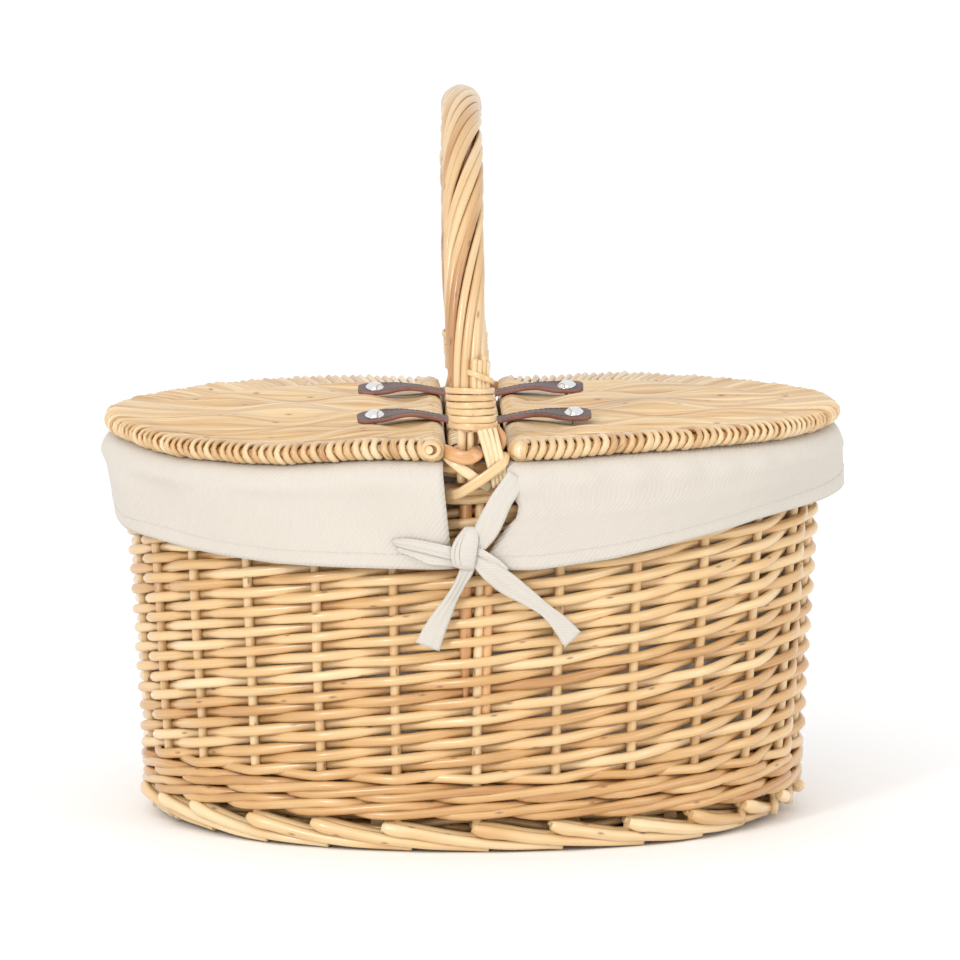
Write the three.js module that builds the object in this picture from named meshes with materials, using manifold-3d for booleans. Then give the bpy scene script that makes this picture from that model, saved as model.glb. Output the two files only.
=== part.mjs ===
// Oval lidded picnic basket of buff willow with a cotton lining, in millimetres, +Z up.
// The origin is on the ground under the middle of the basket. X is the long way, -Y is the front.
//
// The wall is an oval ring that flares as it rises. Rods are solid rods; a stretch of weaving is one
// solid with a tunnel wherever a stake, stick or frame rod runs through it.
import * as THREE from "three";
import { mergeVertices } from "three/addons/utils/BufferGeometryUtils.js";
import Module from "manifold-3d";

const wasm = await Module();
wasm.setup();

// ---- driving dimensions ----
const LID_A = 215; // half length over the closed lids
const LID_B = 155; // half width over the closed lids
const FOOT_A = 193.5; // half length of the wall's outside at the ground
const FOOT_B = 133.5; // half width there
const FLARE = 0.06; // how far the wall leans out for each millimetre of height
const STAKES = 26; // upright stakes round the wall
const STAKE_R = 2.5;
const WALL = 14.4; // thickness of the woven wall
const GAP = 0.35; // clearance between neighbouring pieces
const HANDLE_TOP = 426; // height over the handle
const CLOTH = 1.2;

// Heights of the bands, from the ground up.
const FOOT_TOP = 16;
const WALE_BOTTOM = 19;
const WALE_TOP = 39;
const WEAVE_TOP = 200;
const TOP_WALE_TOP = 213;
const BORDER_TOP = 225;
const LID_BOTTOM = 226.9;
const LID_TOP = 238;
const FLOOR_BOTTOM = 8;
const FLOOR_TOP = 20;
const HEM = 165; // bottom edge of the lining's skirts

const SEGMENTS = 20; // an oval has twice this many sides
const FRONT = -1;
const BACK = 1;
const SIDES = [["front", FRONT], ["back", BACK]];

// ---- materials ----
const material = (color, roughness, metalness = 0) =>
  new THREE.MeshStandardMaterial({ color, roughness, metalness });
const WILLOW = material(0xdcb277, 0.5);
const PALE_WILLOW = material(0xe8c793, 0.5);
const CANE = material(0xe3be6c, 0.4);
const COTTON = material(0xebe5d8, 0.95);
const LEATHER = material(0x4a3430, 0.55);
const STEEL = material(0xc9c9cc, 0.25, 1);

// ---- solids ----
// A closed geometry as a solid that can be cut and joined.
function solid(geometry) {
  const bare = geometry.index ? geometry.toNonIndexed() : geometry.clone();
  for (const name of ["normal", "uv"]) {
    bare.deleteAttribute(name);
  }
  const merged = mergeVertices(bare, 1e-4);
  return new wasm.Manifold(new wasm.Mesh({
    numProp: 3,
    vertProperties: new Float32Array(merged.attributes.position.array),
    triVerts: new Uint32Array(merged.index.array),
  }));
}

function geometryOf(made) {
  const mesh = made.getMesh();
  const count = mesh.vertProperties.length / mesh.numProp;
  const position = new Float32Array(count * 3);
  for (let i = 0; i < count; i++) {
    position.set(mesh.vertProperties.subarray(i * mesh.numProp, i * mesh.numProp + 3), i * 3);
  }
  const geometry = new THREE.BufferGeometry();
  geometry.setAttribute("position", new THREE.BufferAttribute(position, 3));
  geometry.setIndex(new THREE.BufferAttribute(new Uint32Array(mesh.triVerts), 1));
  geometry.computeVertexNormals();
  return geometry;
}

const joined = (pieces) => pieces.reduce((all, piece) => all.add(piece));
const cut = (body, tools) => tools.reduce((rest, tool) => rest.subtract(tool), body);

const basket = new THREE.Group();
const leftLid = new THREE.Group();
const rightLid = new THREE.Group();
const model = new THREE.Group();
model.add(basket, leftLid, rightLid);

function place(group, name, shape, finish) {
  const geometry = shape.isBufferGeometry ? shape : geometryOf(shape);
  const mesh = new THREE.Mesh(geometry, finish);
  mesh.name = name;
  group.add(mesh);
}

// ---- the oval wall ----
const flareX = (z) => (FOOT_A + FLARE * z) / FOOT_A;
const flareY = (z) => (FOOT_B + FLARE * z) / FOOT_B;

// Leans an upright solid out with the wall.
function flared(geometry) {
  const position = geometry.attributes.position;
  for (let i = 0; i < position.count; i++) {
    const z = position.getZ(i);
    position.setX(i, position.getX(i) * flareX(z));
    position.setY(i, position.getY(i) * flareY(z));
  }
  return geometry;
}

function ovalPath(Kind, offset) {
  const path = new Kind();
  path.absellipse(0, 0, FOOT_A + offset, FOOT_B + offset, 0, 2 * Math.PI, false, 0);
  return path;
}

// An extrusion that stands from z0 to z1, its edges rounded by bevel.
function upright(shape, z0, z1, bevel = 0, curveSegments = SEGMENTS) {
  const geometry = new THREE.ExtrudeGeometry(shape, {
    depth: z1 - z0 - 2 * bevel,
    bevelEnabled: bevel > 0,
    bevelSize: bevel,
    bevelThickness: bevel,
    bevelOffset: -bevel,
    bevelSegments: 1,
    curveSegments,
  });
  return geometry.translate(0, 0, z0 + bevel);
}

// A full oval band between two offsets from the wall's outside.
function band(outer, inner, z0, z1, bevel = 0, segments = SEGMENTS) {
  const shape = ovalPath(THREE.Shape, outer);
  shape.holes.push(ovalPath(THREE.Path, inner));
  return solid(flared(upright(shape, z0, z1, bevel, segments)));
}

// A full oval plate.
const plate = (offset, z0, z1) => solid(flared(upright(ovalPath(THREE.Shape, offset), z0, z1)));

// A band that leaves out the handle's place at the front and back. end is -1 for left, 1 for right.
function halfBand(end, outer, inner, z0, z1, edge) {
  const start = Math.acos(edge / (FOOT_A + outer)) * end;
  const shape = new THREE.Shape();
  const away = end > 0 ? 0 : Math.PI;
  shape.absellipse(0, 0, FOOT_A + outer, FOOT_B + outer, away - start, away + start, end < 0, 0);
  shape.absellipse(0, 0, FOOT_A + inner, FOOT_B + inner, away + start, away - start, end > 0, 0);
  return solid(flared(upright(shape, z0, z1)));
}

// The point at an offset from the wall's outside, angle 0 being the middle of the front.
function wallPoint(angle, offset, z) {
  return new THREE.Vector3(
    Math.sin(angle) * (FOOT_A + offset) * flareX(z),
    -Math.cos(angle) * (FOOT_B + offset) * flareY(z),
    z,
  );
}

// ---- rods ----
function rod(from, to, radius, sides = 8) {
  const run = to.clone().sub(from);
  const geometry = new THREE.CylinderGeometry(radius, radius, run.length(), sides);
  const turn = new THREE.Quaternion().setFromUnitVectors(
    new THREE.Vector3(0, 1, 0), run.clone().normalize());
  const middle = from.clone().add(to).multiplyScalar(0.5);
  return solid(geometry.applyQuaternion(turn).translate(middle.x, middle.y, middle.z));
}

function circle(Kind, radius) {
  const path = new Kind();
  path.absarc(0, 0, radius, 0, 2 * Math.PI, false);
  return path;
}

// A tube, or with no bore a rod, along a curve.
function alongCurve(curve, radius, steps, bore = 0, sides = 8) {
  const shape = circle(THREE.Shape, radius);
  if (bore > 0) {
    shape.holes.push(circle(THREE.Path, bore));
  }
  return solid(new THREE.ExtrudeGeometry(shape, {
    steps, extrudePath: curve, bevelEnabled: false, curveSegments: sides / 2,
  }));
}

const box = (x, y, z, at) =>
  solid(new THREE.BoxGeometry(x, y, z).translate(at.x, at.y, at.z));

// ---- handle ----
const ROPE_R = 11.5;
const BOW_R = 4.5;
const SPRING = 240; // height where the arch leaves the wall
const ARCH_HALF = 142;
const ARCH_RISE = HANDLE_TOP - ROPE_R - SPRING;
const ARCH_FULLNESS = 0.9; // 1 is a half ellipse, less is squarer
const LEG_SHIFT = 6; // the bow stands beside a stake in the wall
const LEG_END = 85;
const BINDING = [244, 269];

class Arch extends THREE.Curve {
  constructor(from = 0, to = Math.PI) {
    super();
    this.from = from;
    this.to = to;
  }

  getPoint(share) {
    const angle = this.from + (this.to - this.from) * share;
    const bulge = (value) => Math.sign(value) * Math.abs(value) ** ARCH_FULLNESS;
    const point = new THREE.Vector3(0, -bulge(Math.cos(angle)), bulge(Math.abs(Math.sin(angle))));
    return point.set(0, point.y * ARCH_HALF, SPRING + point.z * ARCH_RISE);
  }
}

const archAngle = (z) => Math.asin(((z - SPRING) / ARCH_RISE) ** (1 / ARCH_FULLNESS));

// The leg's points inside the wall, from the pointed end up.
function legPoints(side) {
  const levels = [[LEG_END, 1], [150, 1], [190, 1], [204, 0.85], [216, 0.4], [227, 0]];
  return levels.map(([z, share]) => {
    const point = wallPoint(0, -WALL / 2, z);
    return new THREE.Vector3(side * LEG_SHIFT * share, side * -point.y, z);
  });
}

function bowCurve() {
  const arch = [];
  const POINTS = 16;
  for (let i = 0; i <= POINTS; i++) {
    arch.push(new Arch().getPoint(i / POINTS));
  }
  return new THREE.CatmullRomCurve3([
    ...legPoints(FRONT), ...arch, ...legPoints(BACK).reverse(),
  ], false, "centripetal");
}

const bow = (radius) => alongCurve(bowCurve(), radius, 48);

function makeHandle() {
  place(basket, "handle_bow", bow(BOW_R), WILLOW);
  place(basket, "handle_rope", alongCurve(new Arch(), ROPE_R, 28, BOW_R + 4 * GAP, 12), PALE_WILLOW);
  for (const [name, side] of SIDES) {
    const [low, high] = BINDING.map(archAngle);
    const stretch = side === FRONT ? new Arch(low, high) : new Arch(Math.PI - high, Math.PI - low);
    place(basket, `handle_binding_${name}`,
      alongCurve(stretch, ROPE_R + 2.8, 3, ROPE_R + GAP, 16), CANE);
    place(basket, `handle_strand_ends_${name}`, strandEnds(side), PALE_WILLOW);
    place(basket, `handle_lashing_${name}`, lashing(side), CANE);
  }
}

// ---- pieces that lie on the wall at the handle ----
// A flat outline of [x, z] points laid on the wall between two offsets from its outside.
// x runs to the right for somebody who faces that side.
function onWall(side, outline, near, far) {
  const depth = 60;
  const shape = new THREE.Shape(outline.map(([x, z]) => new THREE.Vector2(x, z)));
  const slab = new THREE.ExtrudeGeometry(shape, { depth, bevelEnabled: false });
  slab.rotateX(Math.PI / 2).translate(0, -FOOT_B + depth / 2, 0);
  const levels = outline.map(([, z]) => z);
  const shell = band(far, near, Math.min(...levels) - 1, Math.max(...levels) + 1, 0, 60);
  const laid = solid(slab).intersect(shell);
  return side === FRONT ? laid : laid.rotate([0, 0, 180]);
}

// The outline of a strip of the given widths that runs from one [x, z] point to another.
function strip([x0, z0], [x1, z1], width0, width1 = width0) {
  const run = Math.hypot(x1 - x0, z1 - z0);
  const across = [-(z1 - z0) / run / 2, (x1 - x0) / run / 2];
  return [
    [x0 + across[0] * width0, z0 + across[1] * width0],
    [x0 - across[0] * width0, z0 - across[1] * width0],
    [x1 - across[0] * width1, z1 - across[1] * width1],
    [x1 + across[0] * width1, z1 + across[1] * width1],
  ];
}

const ON_WALL = 1.4; // clear of the border, the proudest part of the wall

// The rope's loose ends, which run down from the binding into the weave.
const strandEnds = (side) => onWall(side, strip([7, 237], [10, 212], 11), ON_WALL, 5.5);

// Two crossed wraps and the band over them, which hold the handle to the border.
const lashing = (side) => joined([
  onWall(side, strip([-14, 231.5], [0, 230], 8), ON_WALL, 5.5),
  onWall(side, strip([-12, 233], [-4, 214], 6), ON_WALL, 5),
  onWall(side, strip([-13, 202], [0, 216], 6), ON_WALL, 5),
]);

// ---- wall ----
const stakeAngle = (i) => (2 * Math.PI * i) / STAKES;
const STAKE_NUDGE = 4; // the stakes at the handle make room for its bow

function stakes(radius, bottom, top) {
  const made = [];
  for (let i = 0; i < STAKES; i++) {
    const [low, high] = [bottom, top].map((z) => wallPoint(stakeAngle(i), -WALL / 2, z));
    const nudge = { 0: STAKE_NUDGE, [STAKES / 2]: -STAKE_NUDGE }[i] || 0;
    low.x += nudge;
    high.x += nudge;
    made.push(rod(low, high, radius, 6));
  }
  return joined(made);
}

// A short rod beside the bow and the stake at the handle.
const LINER_X = 10;
function liner(side, radius, bottom, top) {
  const ends = [bottom, top].map((z) => {
    const point = wallPoint(0, -WALL / 2, z);
    return new THREE.Vector3(-side * LINER_X, side * -point.y, z);
  });
  return rod(...ends, radius, 6);
}

function makeWall() {
  const tunnels = [
    stakes(STAKE_R + GAP, WALE_BOTTOM - 5, BORDER_TOP - 5),
    bow(BOW_R + GAP),
    liner(FRONT, STAKE_R + GAP, LEG_END - 8, TOP_WALE_TOP),
    liner(BACK, STAKE_R + GAP, LEG_END - 8, TOP_WALE_TOP),
  ];
  const woven = (outer, z0, z1, bevel) => cut(band(outer, -WALL, z0, z1, bevel), tunnels);
  place(basket, "foot_border", band(0, -13, 0, FOOT_TOP, 2), WILLOW);
  place(basket, "bottom_wale", woven(0.8, WALE_BOTTOM, WALE_TOP, 0), PALE_WILLOW);
  place(basket, "side_weave", woven(0, WALE_TOP + GAP, WEAVE_TOP, 0), WILLOW);
  place(basket, "top_wale", woven(0.4, WEAVE_TOP + GAP, TOP_WALE_TOP, 0), WILLOW);
  // The stakes are bent over at the top and plaited into the border.
  const border = band(1, -WALL, TOP_WALE_TOP + GAP, BORDER_TOP, 3);
  const uprights = stakes(STAKE_R, FOOT_TOP + GAP, TOP_WALE_TOP + 4);
  place(basket, "stakes_and_border", border.add(uprights).subtract(bow(BOW_R + GAP)), WILLOW);
  for (const [name, side] of SIDES) {
    place(basket, `handle_liner_${name}`, liner(side, STAKE_R, LEG_END - 5, TOP_WALE_TOP - 3), WILLOW);
  }
}

// ---- floor ----
const FLOOR_MIDDLE = (FLOOR_BOTTOM + FLOOR_TOP) / 2;
const LONG_STICKS = [-36, 0, 36];
const CROSS_STICKS = [-112, -56, 0, 56, 112];
const LONG_R = 3;
const CROSS_R = 4.4;

function makeFloor() {
  const edge = -WALL - 2 * GAP;
  const spanX = (y) => (FOOT_A + edge) * Math.sqrt(1 - (y / (FOOT_B + edge)) ** 2) - 1;
  const spanY = (x) => (FOOT_B + edge) * Math.sqrt(1 - (x / (FOOT_A + edge)) ** 2) - 1;
  const along = (y, reach, radius) => rod(
    new THREE.Vector3(-reach, y, FLOOR_MIDDLE), new THREE.Vector3(reach, y, FLOOR_MIDDLE), radius);
  const across = (x, reach, radius) => rod(
    new THREE.Vector3(x, -reach, FLOOR_MIDDLE), new THREE.Vector3(x, reach, FLOOR_MIDDLE), radius);
  const tunnels = [
    ...LONG_STICKS.map((y) => along(y, FOOT_A, LONG_R + GAP)),
    ...CROSS_STICKS.map((x) => across(x, FOOT_B, CROSS_R + GAP)),
  ];
  place(basket, "base_weave", cut(plate(edge, FLOOR_BOTTOM, FLOOR_TOP), tunnels), WILLOW);
  LONG_STICKS.forEach((y, i) =>
    place(basket, `base_long_stick_${i + 1}`, along(y, spanX(y), LONG_R), WILLOW));
  // The cross sticks are split, and the long ones are threaded through the splits.
  const splits = LONG_STICKS.map((y) => along(y, FOOT_A, LONG_R + GAP));
  CROSS_STICKS.forEach((x, i) =>
    place(basket, `base_cross_stick_${i + 1}`, cut(across(x, spanY(x), CROSS_R), splits), WILLOW));
}

// ---- lining ----
const SKIRT_EDGE = 17; // the skirts stop this far from the middle, to clear the handle
const SKIRT_OFFSET = 6; // how far the skirts hang outside the wall
const RIGHT_HEM_RISE = 25; // the right skirt is pulled up towards its end

function makeLining() {
  const inside = -WALL - GAP;
  place(basket, "lining_side_panel",
    band(inside, inside - CLOTH, FLOOR_TOP + GAP, BORDER_TOP - 2 * GAP), COTTON);
  place(basket, "lining_base_panel",
    plate(inside - CLOTH - GAP, FLOOR_TOP + GAP, FLOOR_TOP + GAP + CLOTH), COTTON);
  for (const [name, end] of [["left", -1], ["right", 1]]) {
    const low = BORDER_TOP + GAP;
    const over = halfBand(end, SKIRT_OFFSET + CLOTH, inside - CLOTH, low, low + CLOTH, SKIRT_EDGE);
    const hanging = halfBand(end, SKIRT_OFFSET + CLOTH, SKIRT_OFFSET, HEM, low + CLOTH, SKIRT_EDGE);
    const skirt = over.add(hanging);
    place(basket, `lining_skirt_${name}`, end > 0 ? skirt.subtract(hemCut()) : skirt, COTTON);
  }
}

// What is below the right skirt's rising hem.
function hemCut() {
  const from = 70;
  const slope = Math.atan2(RIGHT_HEM_RISE, LID_A - from);
  const size = 400;
  const wedge = new THREE.BoxGeometry(size, size, size).translate(size / 2, 0, -size / 2);
  return solid(wedge.rotateY(-slope).translate(from, 0, HEM));
}

// ---- ties ----
// On each side two cotton tapes, sewn to the skirts, are knotted under the handle.
const KNOT = [-4.5, 176];
const TAPE = 13;

function makeTies() {
  const layer = (n) => [SKIRT_OFFSET + CLOTH + GAP + n * (CLOTH + GAP), CLOTH];
  for (const [name, side] of SIDES) {
    const tape = (n, outline) => {
      const [near, thick] = layer(n);
      return onWall(side, outline, near, near + thick);
    };
    place(basket, `tie_left_${name}`, joined([
      tape(0, strip([-44, 180], KNOT, TAPE)),
      tape(0, strip(KNOT, [18, 166], TAPE, TAPE)),
      tape(0, strip([17, 166.5], [57, 127], TAPE)),
    ]), COTTON);
    const knot = onWall(side, strip([-4.5, 189], [-4.5, 164], 16), layer(1)[0], layer(1)[0] + 5);
    place(basket, `tie_right_${name}`, joined([
      tape(1, strip([15, 212], KNOT, 18, TAPE)),
      tape(1, strip(KNOT, [-25, 122], 9, 16)),
      knot,
    ]), COTTON);
  }
}

// ---- bar across the middle, between the lids ----
const BAR_HALF = 15;
const BAR_TOP = 234.6;
const BAR_ROD_X = 10.5;
const BAR_ROD_R = 3.5;

function makeCentreBar() {
  const z = BORDER_TOP + GAP + BAR_ROD_R;
  const rods = (radius, reach) => [-BAR_ROD_X, BAR_ROD_X].map((x) =>
    rod(new THREE.Vector3(x, -reach, z), new THREE.Vector3(x, reach, z), radius));
  const low = BORDER_TOP - 1;
  const bar = box(2 * BAR_HALF, 256, BAR_TOP - low, new THREE.Vector3(0, 0, (BAR_TOP + low) / 2));
  place(basket, "centre_bar_weave", cut(bar, rods(BAR_ROD_R + GAP, 160)), PALE_WILLOW);
  rods(BAR_ROD_R, 147).forEach((made, i) =>
    place(basket, `centre_bar_rod_${["left", "right"][i]}`, made, WILLOW));
}

// ---- lids ----
const LID_EDGE = 18; // the lids' straight edges are this far from the middle
const LID_RIM = 11; // width of the bound rim
const LID_MIDDLE = (LID_BOTTOM + LID_TOP) / 2;
const HOOP_R = 3.5;
const LID_STICKS = [62, 104, 146]; // distance of the cross sticks from the middle
const LID_STICK_R = 2;
const EDGE_ROD_X = LID_EDGE + LID_RIM / 2;

// The outline of a lid, inset from its edge.
function lidOutline(inset) {
  const [a, b, edge] = [LID_A - inset, LID_B - inset, LID_EDGE + inset];
  const start = Math.acos(edge / a);
  const shape = new THREE.Shape();
  shape.absellipse(0, 0, a, b, -start, start, false, 0);
  return shape;
}

class Hoop extends THREE.Curve {
  constructor(from) {
    super();
    this.start = Math.acos(from / (LID_A - LID_RIM / 2));
  }

  getPoint(share) {
    const angle = this.start * (2 * share - 1);
    return new THREE.Vector3(
      Math.cos(angle) * (LID_A - LID_RIM / 2), Math.sin(angle) * (LID_B - LID_RIM / 2), LID_MIDDLE);
  }
}

const acrossLid = (x, reach, radius) => rod(
  new THREE.Vector3(x, -reach, LID_MIDDLE), new THREE.Vector3(x, reach, LID_MIDDLE), radius);

// A lid's pieces for the right side; the left lid is the same turned half round.
function makeLid(group, name, end) {
  const turned = (made) => (end > 0 ? made : made.rotate([0, 0, 180]));
  const stickReach = (x) =>
    (LID_B - LID_RIM / 2) * Math.sqrt(1 - (x / (LID_A - LID_RIM / 2)) ** 2) - HOOP_R - 3;
  const tunnels = [
    alongCurve(new Hoop(EDGE_ROD_X), HOOP_R + GAP, 22, 0, 6),
    acrossLid(EDGE_ROD_X, 2 * LID_B, HOOP_R + GAP),
    ...LID_STICKS.map((x) => acrossLid(x, stickReach(x) + 4, LID_STICK_R + GAP)),
    ...STRAP_Y.map((y) => rivetBore(y)),
  ];
  const rim = solid(upright(lidOutline(0), LID_BOTTOM, LID_TOP, 2.5, 16));
  const hollow = upright(lidOutline(LID_RIM), LID_TOP - 1.6, LID_TOP + 1, 0, 16);
  const under = upright(lidOutline(LID_RIM), LID_BOTTOM - 1, LID_BOTTOM + 2.6, 0, 16);
  const weave = cut(rim, [solid(hollow), solid(under), ...tunnels]);
  place(group, `${name}_weave`, turned(weave), PALE_WILLOW);
  place(group, `${name}_hoop`,
    turned(alongCurve(new Hoop(EDGE_ROD_X + 2 * HOOP_R + 1), HOOP_R, 22, 0, 6)), WILLOW);
  place(group, `${name}_edge_rod`, turned(acrossLid(EDGE_ROD_X, LID_B - 3, HOOP_R)), WILLOW);
  LID_STICKS.forEach((x, i) =>
    place(group, `${name}_stick_${i + 1}`, turned(acrossLid(x, stickReach(x), LID_STICK_R)), WILLOW));
}

// ---- leather hinge straps ----
const STRAP_Y = [-62, 62];
const STRAP_WIDTH = 16;
const STRAP_THICK = 2.4;
const STRAP_REACH = 67; // from the middle to the strap's tip
const HINGE_X = 16.5; // the leather folds here
const STUD_X = 57;
const STUD_R = 5;
const SHANK_R = 1.4;

function rivetBore(y) {
  return rod(new THREE.Vector3(STUD_X, y, LID_BOTTOM - 5),
    new THREE.Vector3(STUD_X, y, LID_TOP + 8), SHANK_R + GAP);
}

// The part of a strap that lies on a lid: a tongue with a rounded tip.
function strapLeaf(y) {
  const half = STRAP_WIDTH / 2;
  const from = HINGE_X + 0.6;
  const shape = new THREE.Shape();
  shape.moveTo(from, -half);
  shape.lineTo(STRAP_REACH - half, -half);
  shape.absarc(STRAP_REACH - half, 0, half, -Math.PI / 2, Math.PI / 2, false);
  shape.lineTo(from, half);
  const low = LID_TOP + GAP;
  const leaf = upright(shape, low, low + STRAP_THICK, 0, 8).translate(0, y, 0);
  return solid(leaf).subtract(rivetBore(y));
}

// A domed rivet through the strap and the lid, its shank ending flush below.
function stud(y) {
  const head = LID_TOP + 2 * GAP + STRAP_THICK;
  const profile = [[0, LID_BOTTOM + 3], [SHANK_R, LID_BOTTOM + 3], [SHANK_R, head], [STUD_R, head]];
  const DOME = 2.2;
  for (const angle of [0.35, 0.75, 1.15]) {
    profile.push([STUD_R * Math.cos(angle), head + DOME * Math.sin(angle)]);
  }
  profile.push([0, head + DOME]);
  const lathe = new THREE.LatheGeometry(profile.map(([r, z]) => new THREE.Vector2(r, z)), 12);
  return solid(lathe.rotateX(Math.PI / 2).translate(STUD_X, y, 0));
}

function makeStraps() {
  const names = ["front", "back"];
  STRAP_Y.forEach((y, i) => {
    const low = BAR_TOP + GAP;
    const centre = box(2 * (HINGE_X - 0.6), STRAP_WIDTH, STRAP_THICK,
      new THREE.Vector3(0, y, low + STRAP_THICK / 2));
    place(basket, `strap_centre_${names[i]}`, centre, LEATHER);
    place(rightLid, `strap_leaf_right_${names[i]}`, strapLeaf(y), LEATHER);
    place(rightLid, `stud_right_${names[i]}`, stud(y), STEEL);
    // Turned half round, so the left lid's front leaf is made at the back.
    const flip = [0, 0, 180];
    place(leftLid, `strap_leaf_left_${names[i]}`, strapLeaf(-y).rotate(flip), LEATHER);
    place(leftLid, `stud_left_${names[i]}`, stud(-y).rotate(flip), STEEL);
  });
}

makeFloor();
makeWall();
makeHandle();
makeCentreBar();
makeLining();
makeTies();
makeLid(leftLid, "left_lid", -1);
makeLid(rightLid, "right_lid", 1);
makeStraps();

export default model;
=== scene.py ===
import math

import bpy
import numpy as np
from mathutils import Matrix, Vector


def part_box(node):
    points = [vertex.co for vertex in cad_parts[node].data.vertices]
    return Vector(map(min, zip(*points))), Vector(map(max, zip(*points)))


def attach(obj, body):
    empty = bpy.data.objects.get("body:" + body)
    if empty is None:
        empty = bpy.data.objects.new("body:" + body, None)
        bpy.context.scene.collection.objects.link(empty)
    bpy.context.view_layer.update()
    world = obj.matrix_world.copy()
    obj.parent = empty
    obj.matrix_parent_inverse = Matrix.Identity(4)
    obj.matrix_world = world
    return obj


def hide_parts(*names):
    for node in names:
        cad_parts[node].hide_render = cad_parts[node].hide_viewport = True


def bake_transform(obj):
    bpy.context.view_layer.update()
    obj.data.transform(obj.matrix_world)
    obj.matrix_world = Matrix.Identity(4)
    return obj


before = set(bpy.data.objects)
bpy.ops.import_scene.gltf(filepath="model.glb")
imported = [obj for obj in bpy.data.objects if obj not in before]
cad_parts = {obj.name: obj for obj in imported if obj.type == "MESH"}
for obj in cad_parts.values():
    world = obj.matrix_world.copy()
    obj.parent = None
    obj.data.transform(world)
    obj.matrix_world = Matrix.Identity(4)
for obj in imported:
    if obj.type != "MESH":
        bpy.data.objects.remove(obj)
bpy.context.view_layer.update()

# ---- driving dimensions, from the frame ----
MM = 0.001
weave_low, weave_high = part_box("side_weave")
top_wale_low, top_wale_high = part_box("top_wale")
floor_low, floor_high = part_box("base_weave")
lid_low, lid_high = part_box("right_lid_weave")
rope_low, rope_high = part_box("handle_rope")
bar_low, bar_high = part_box("centre_bar_weave")
liner_low, liner_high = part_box("handle_liner_front")
panel_low, panel_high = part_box("lining_side_panel")
leaf_low, leaf_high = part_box("strap_leaf_right_front")
stud_low, stud_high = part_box("stud_right_front")
BORDER_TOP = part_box("stakes_and_border")[1].z
BINDING_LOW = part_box("handle_binding_front")[0].z
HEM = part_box("lining_skirt_left")[0].z

FLARE = 0.06  # how far the wall leans out for each unit of height
FOOT_A = weave_high.x - FLARE * weave_high.z  # half length of the wall's outside at the ground
FOOT_B = weave_high.y - FLARE * weave_high.z
STAKES = 26
STEP = 2 * math.pi / STAKES
WALL_MIDDLE = -7.2 * MM  # the stakes stand this far inside the wall's face
FRONT, BACK = -1, 1
SIDES = (("front", FRONT), ("back", BACK))
DROP, RISE, BACK_RISE = 5.8 * MM, 3.3 * MM, 1.8 * MM  # how far the rim is from level
rng = np.random.default_rng(7)


# ---- small mathematics ----
def eased(x, low=0.0, high=1.0):
    """0 before low, 1 past high, and smooth between."""
    share = np.clip((np.asarray(x, float) - low) / (high - low), 0, 1)
    return share * share * (3 - 2 * share)


def settled(points):
    """The top of the basket isn't quite level: it drops at the front left and rises on the right."""
    moved = np.array(points, float)
    x, y, z = (moved[..., i] for i in range(3))
    drop = DROP * eased(-x, 0.045, 0.125) * (1 - 0.4 * eased(-x, 0.165, 0.2)) * eased(-y, -0.02, 0.09)
    rise = (RISE + 0.9 * MM * np.clip(y / 0.1, -1, 1)) * eased(x, 0.03, 0.1)
    rise += 0.6 * MM * eased(x, 0.17, 0.21)
    rise += BACK_RISE * eased(y, 0.02, 0.11) * eased(-x, 0.03, 0.08) * (1 - eased(-x, 0.15, 0.19))
    moved[..., 2] += (rise - drop) * eased(z, 0.195, 0.222)
    return moved


def unit(vectors):
    return vectors / np.maximum(np.linalg.norm(vectors, axis=-1, keepdims=True), 1e-12)


def run_of(path):
    """How far along a path each of its points is."""
    return np.concatenate([[0], np.cumsum(np.linalg.norm(np.diff(path, axis=0), axis=1))])


def wander(count, size, waves=3.0):
    """A smooth random series of count values, about size either side of nought."""
    along = np.linspace(0, 1, count)
    total = np.zeros(count)
    for _ in range(3):
        total += rng.normal() * np.sin(2 * np.pi * (rng.uniform(0.3, waves) * along + rng.uniform()))
    return size * total / 2


def through(knots, at):
    """Values at the given places along a smooth curve through (place, value...) knots."""
    knots = np.asarray(knots, float)
    knots = knots[np.argsort(knots[:, 0])]
    place = np.clip(np.asarray(at, float), knots[0, 0], knots[-1, 0])
    span = np.clip(np.searchsorted(knots[:, 0], place, side="right") - 1, 0, len(knots) - 2)
    slopes = np.gradient(knots[:, 1:], knots[:, 0], axis=0)
    width = (knots[span + 1, 0] - knots[span, 0])[:, None]
    t = (place - knots[span, 0])[:, None] / width
    bend = (2 * t**3 - 3 * t**2 + 1) * knots[span, 1:] + (3 * t**2 - 2 * t**3) * knots[span + 1, 1:]
    bend += (t**3 - 2 * t**2 + t) * width * slopes[span] + (t**3 - t**2) * width * slopes[span + 1]
    return bend


def rounded(points, spacing=3 * MM):
    """A smooth path through given points, resampled about spacing apart."""
    run = run_of(points)
    count = max(4, int(run[-1] / spacing))
    return through(np.column_stack([run, points]), np.linspace(0, run[-1], count))


def carried(path, guide=None):
    """Directions across a path, starting near guide and carried along it without twisting."""
    along = unit(np.gradient(path, axis=0))
    if guide is None:
        guide = (0, 0, 1) if abs(along[0][2]) < 0.9 else (1, 0, 0)
    out = np.zeros_like(along)
    for i, direction in enumerate(along):
        guide = unit(guide - np.dot(guide, direction) * direction)
        out[i] = guide
    return out


def wall_point(angle, offset, z):
    """A point at an offset from the wall's outside. Angle 0 is the middle of the front."""
    angle, offset, z = np.broadcast_arrays(np.asarray(angle, float), offset, z)
    grow_x, grow_y = (FOOT_A + FLARE * z) / FOOT_A, (FOOT_B + FLARE * z) / FOOT_B
    return np.stack([np.sin(angle) * (FOOT_A + offset) * grow_x,
                     -np.cos(angle) * (FOOT_B + offset) * grow_y, z], axis=-1)


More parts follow.
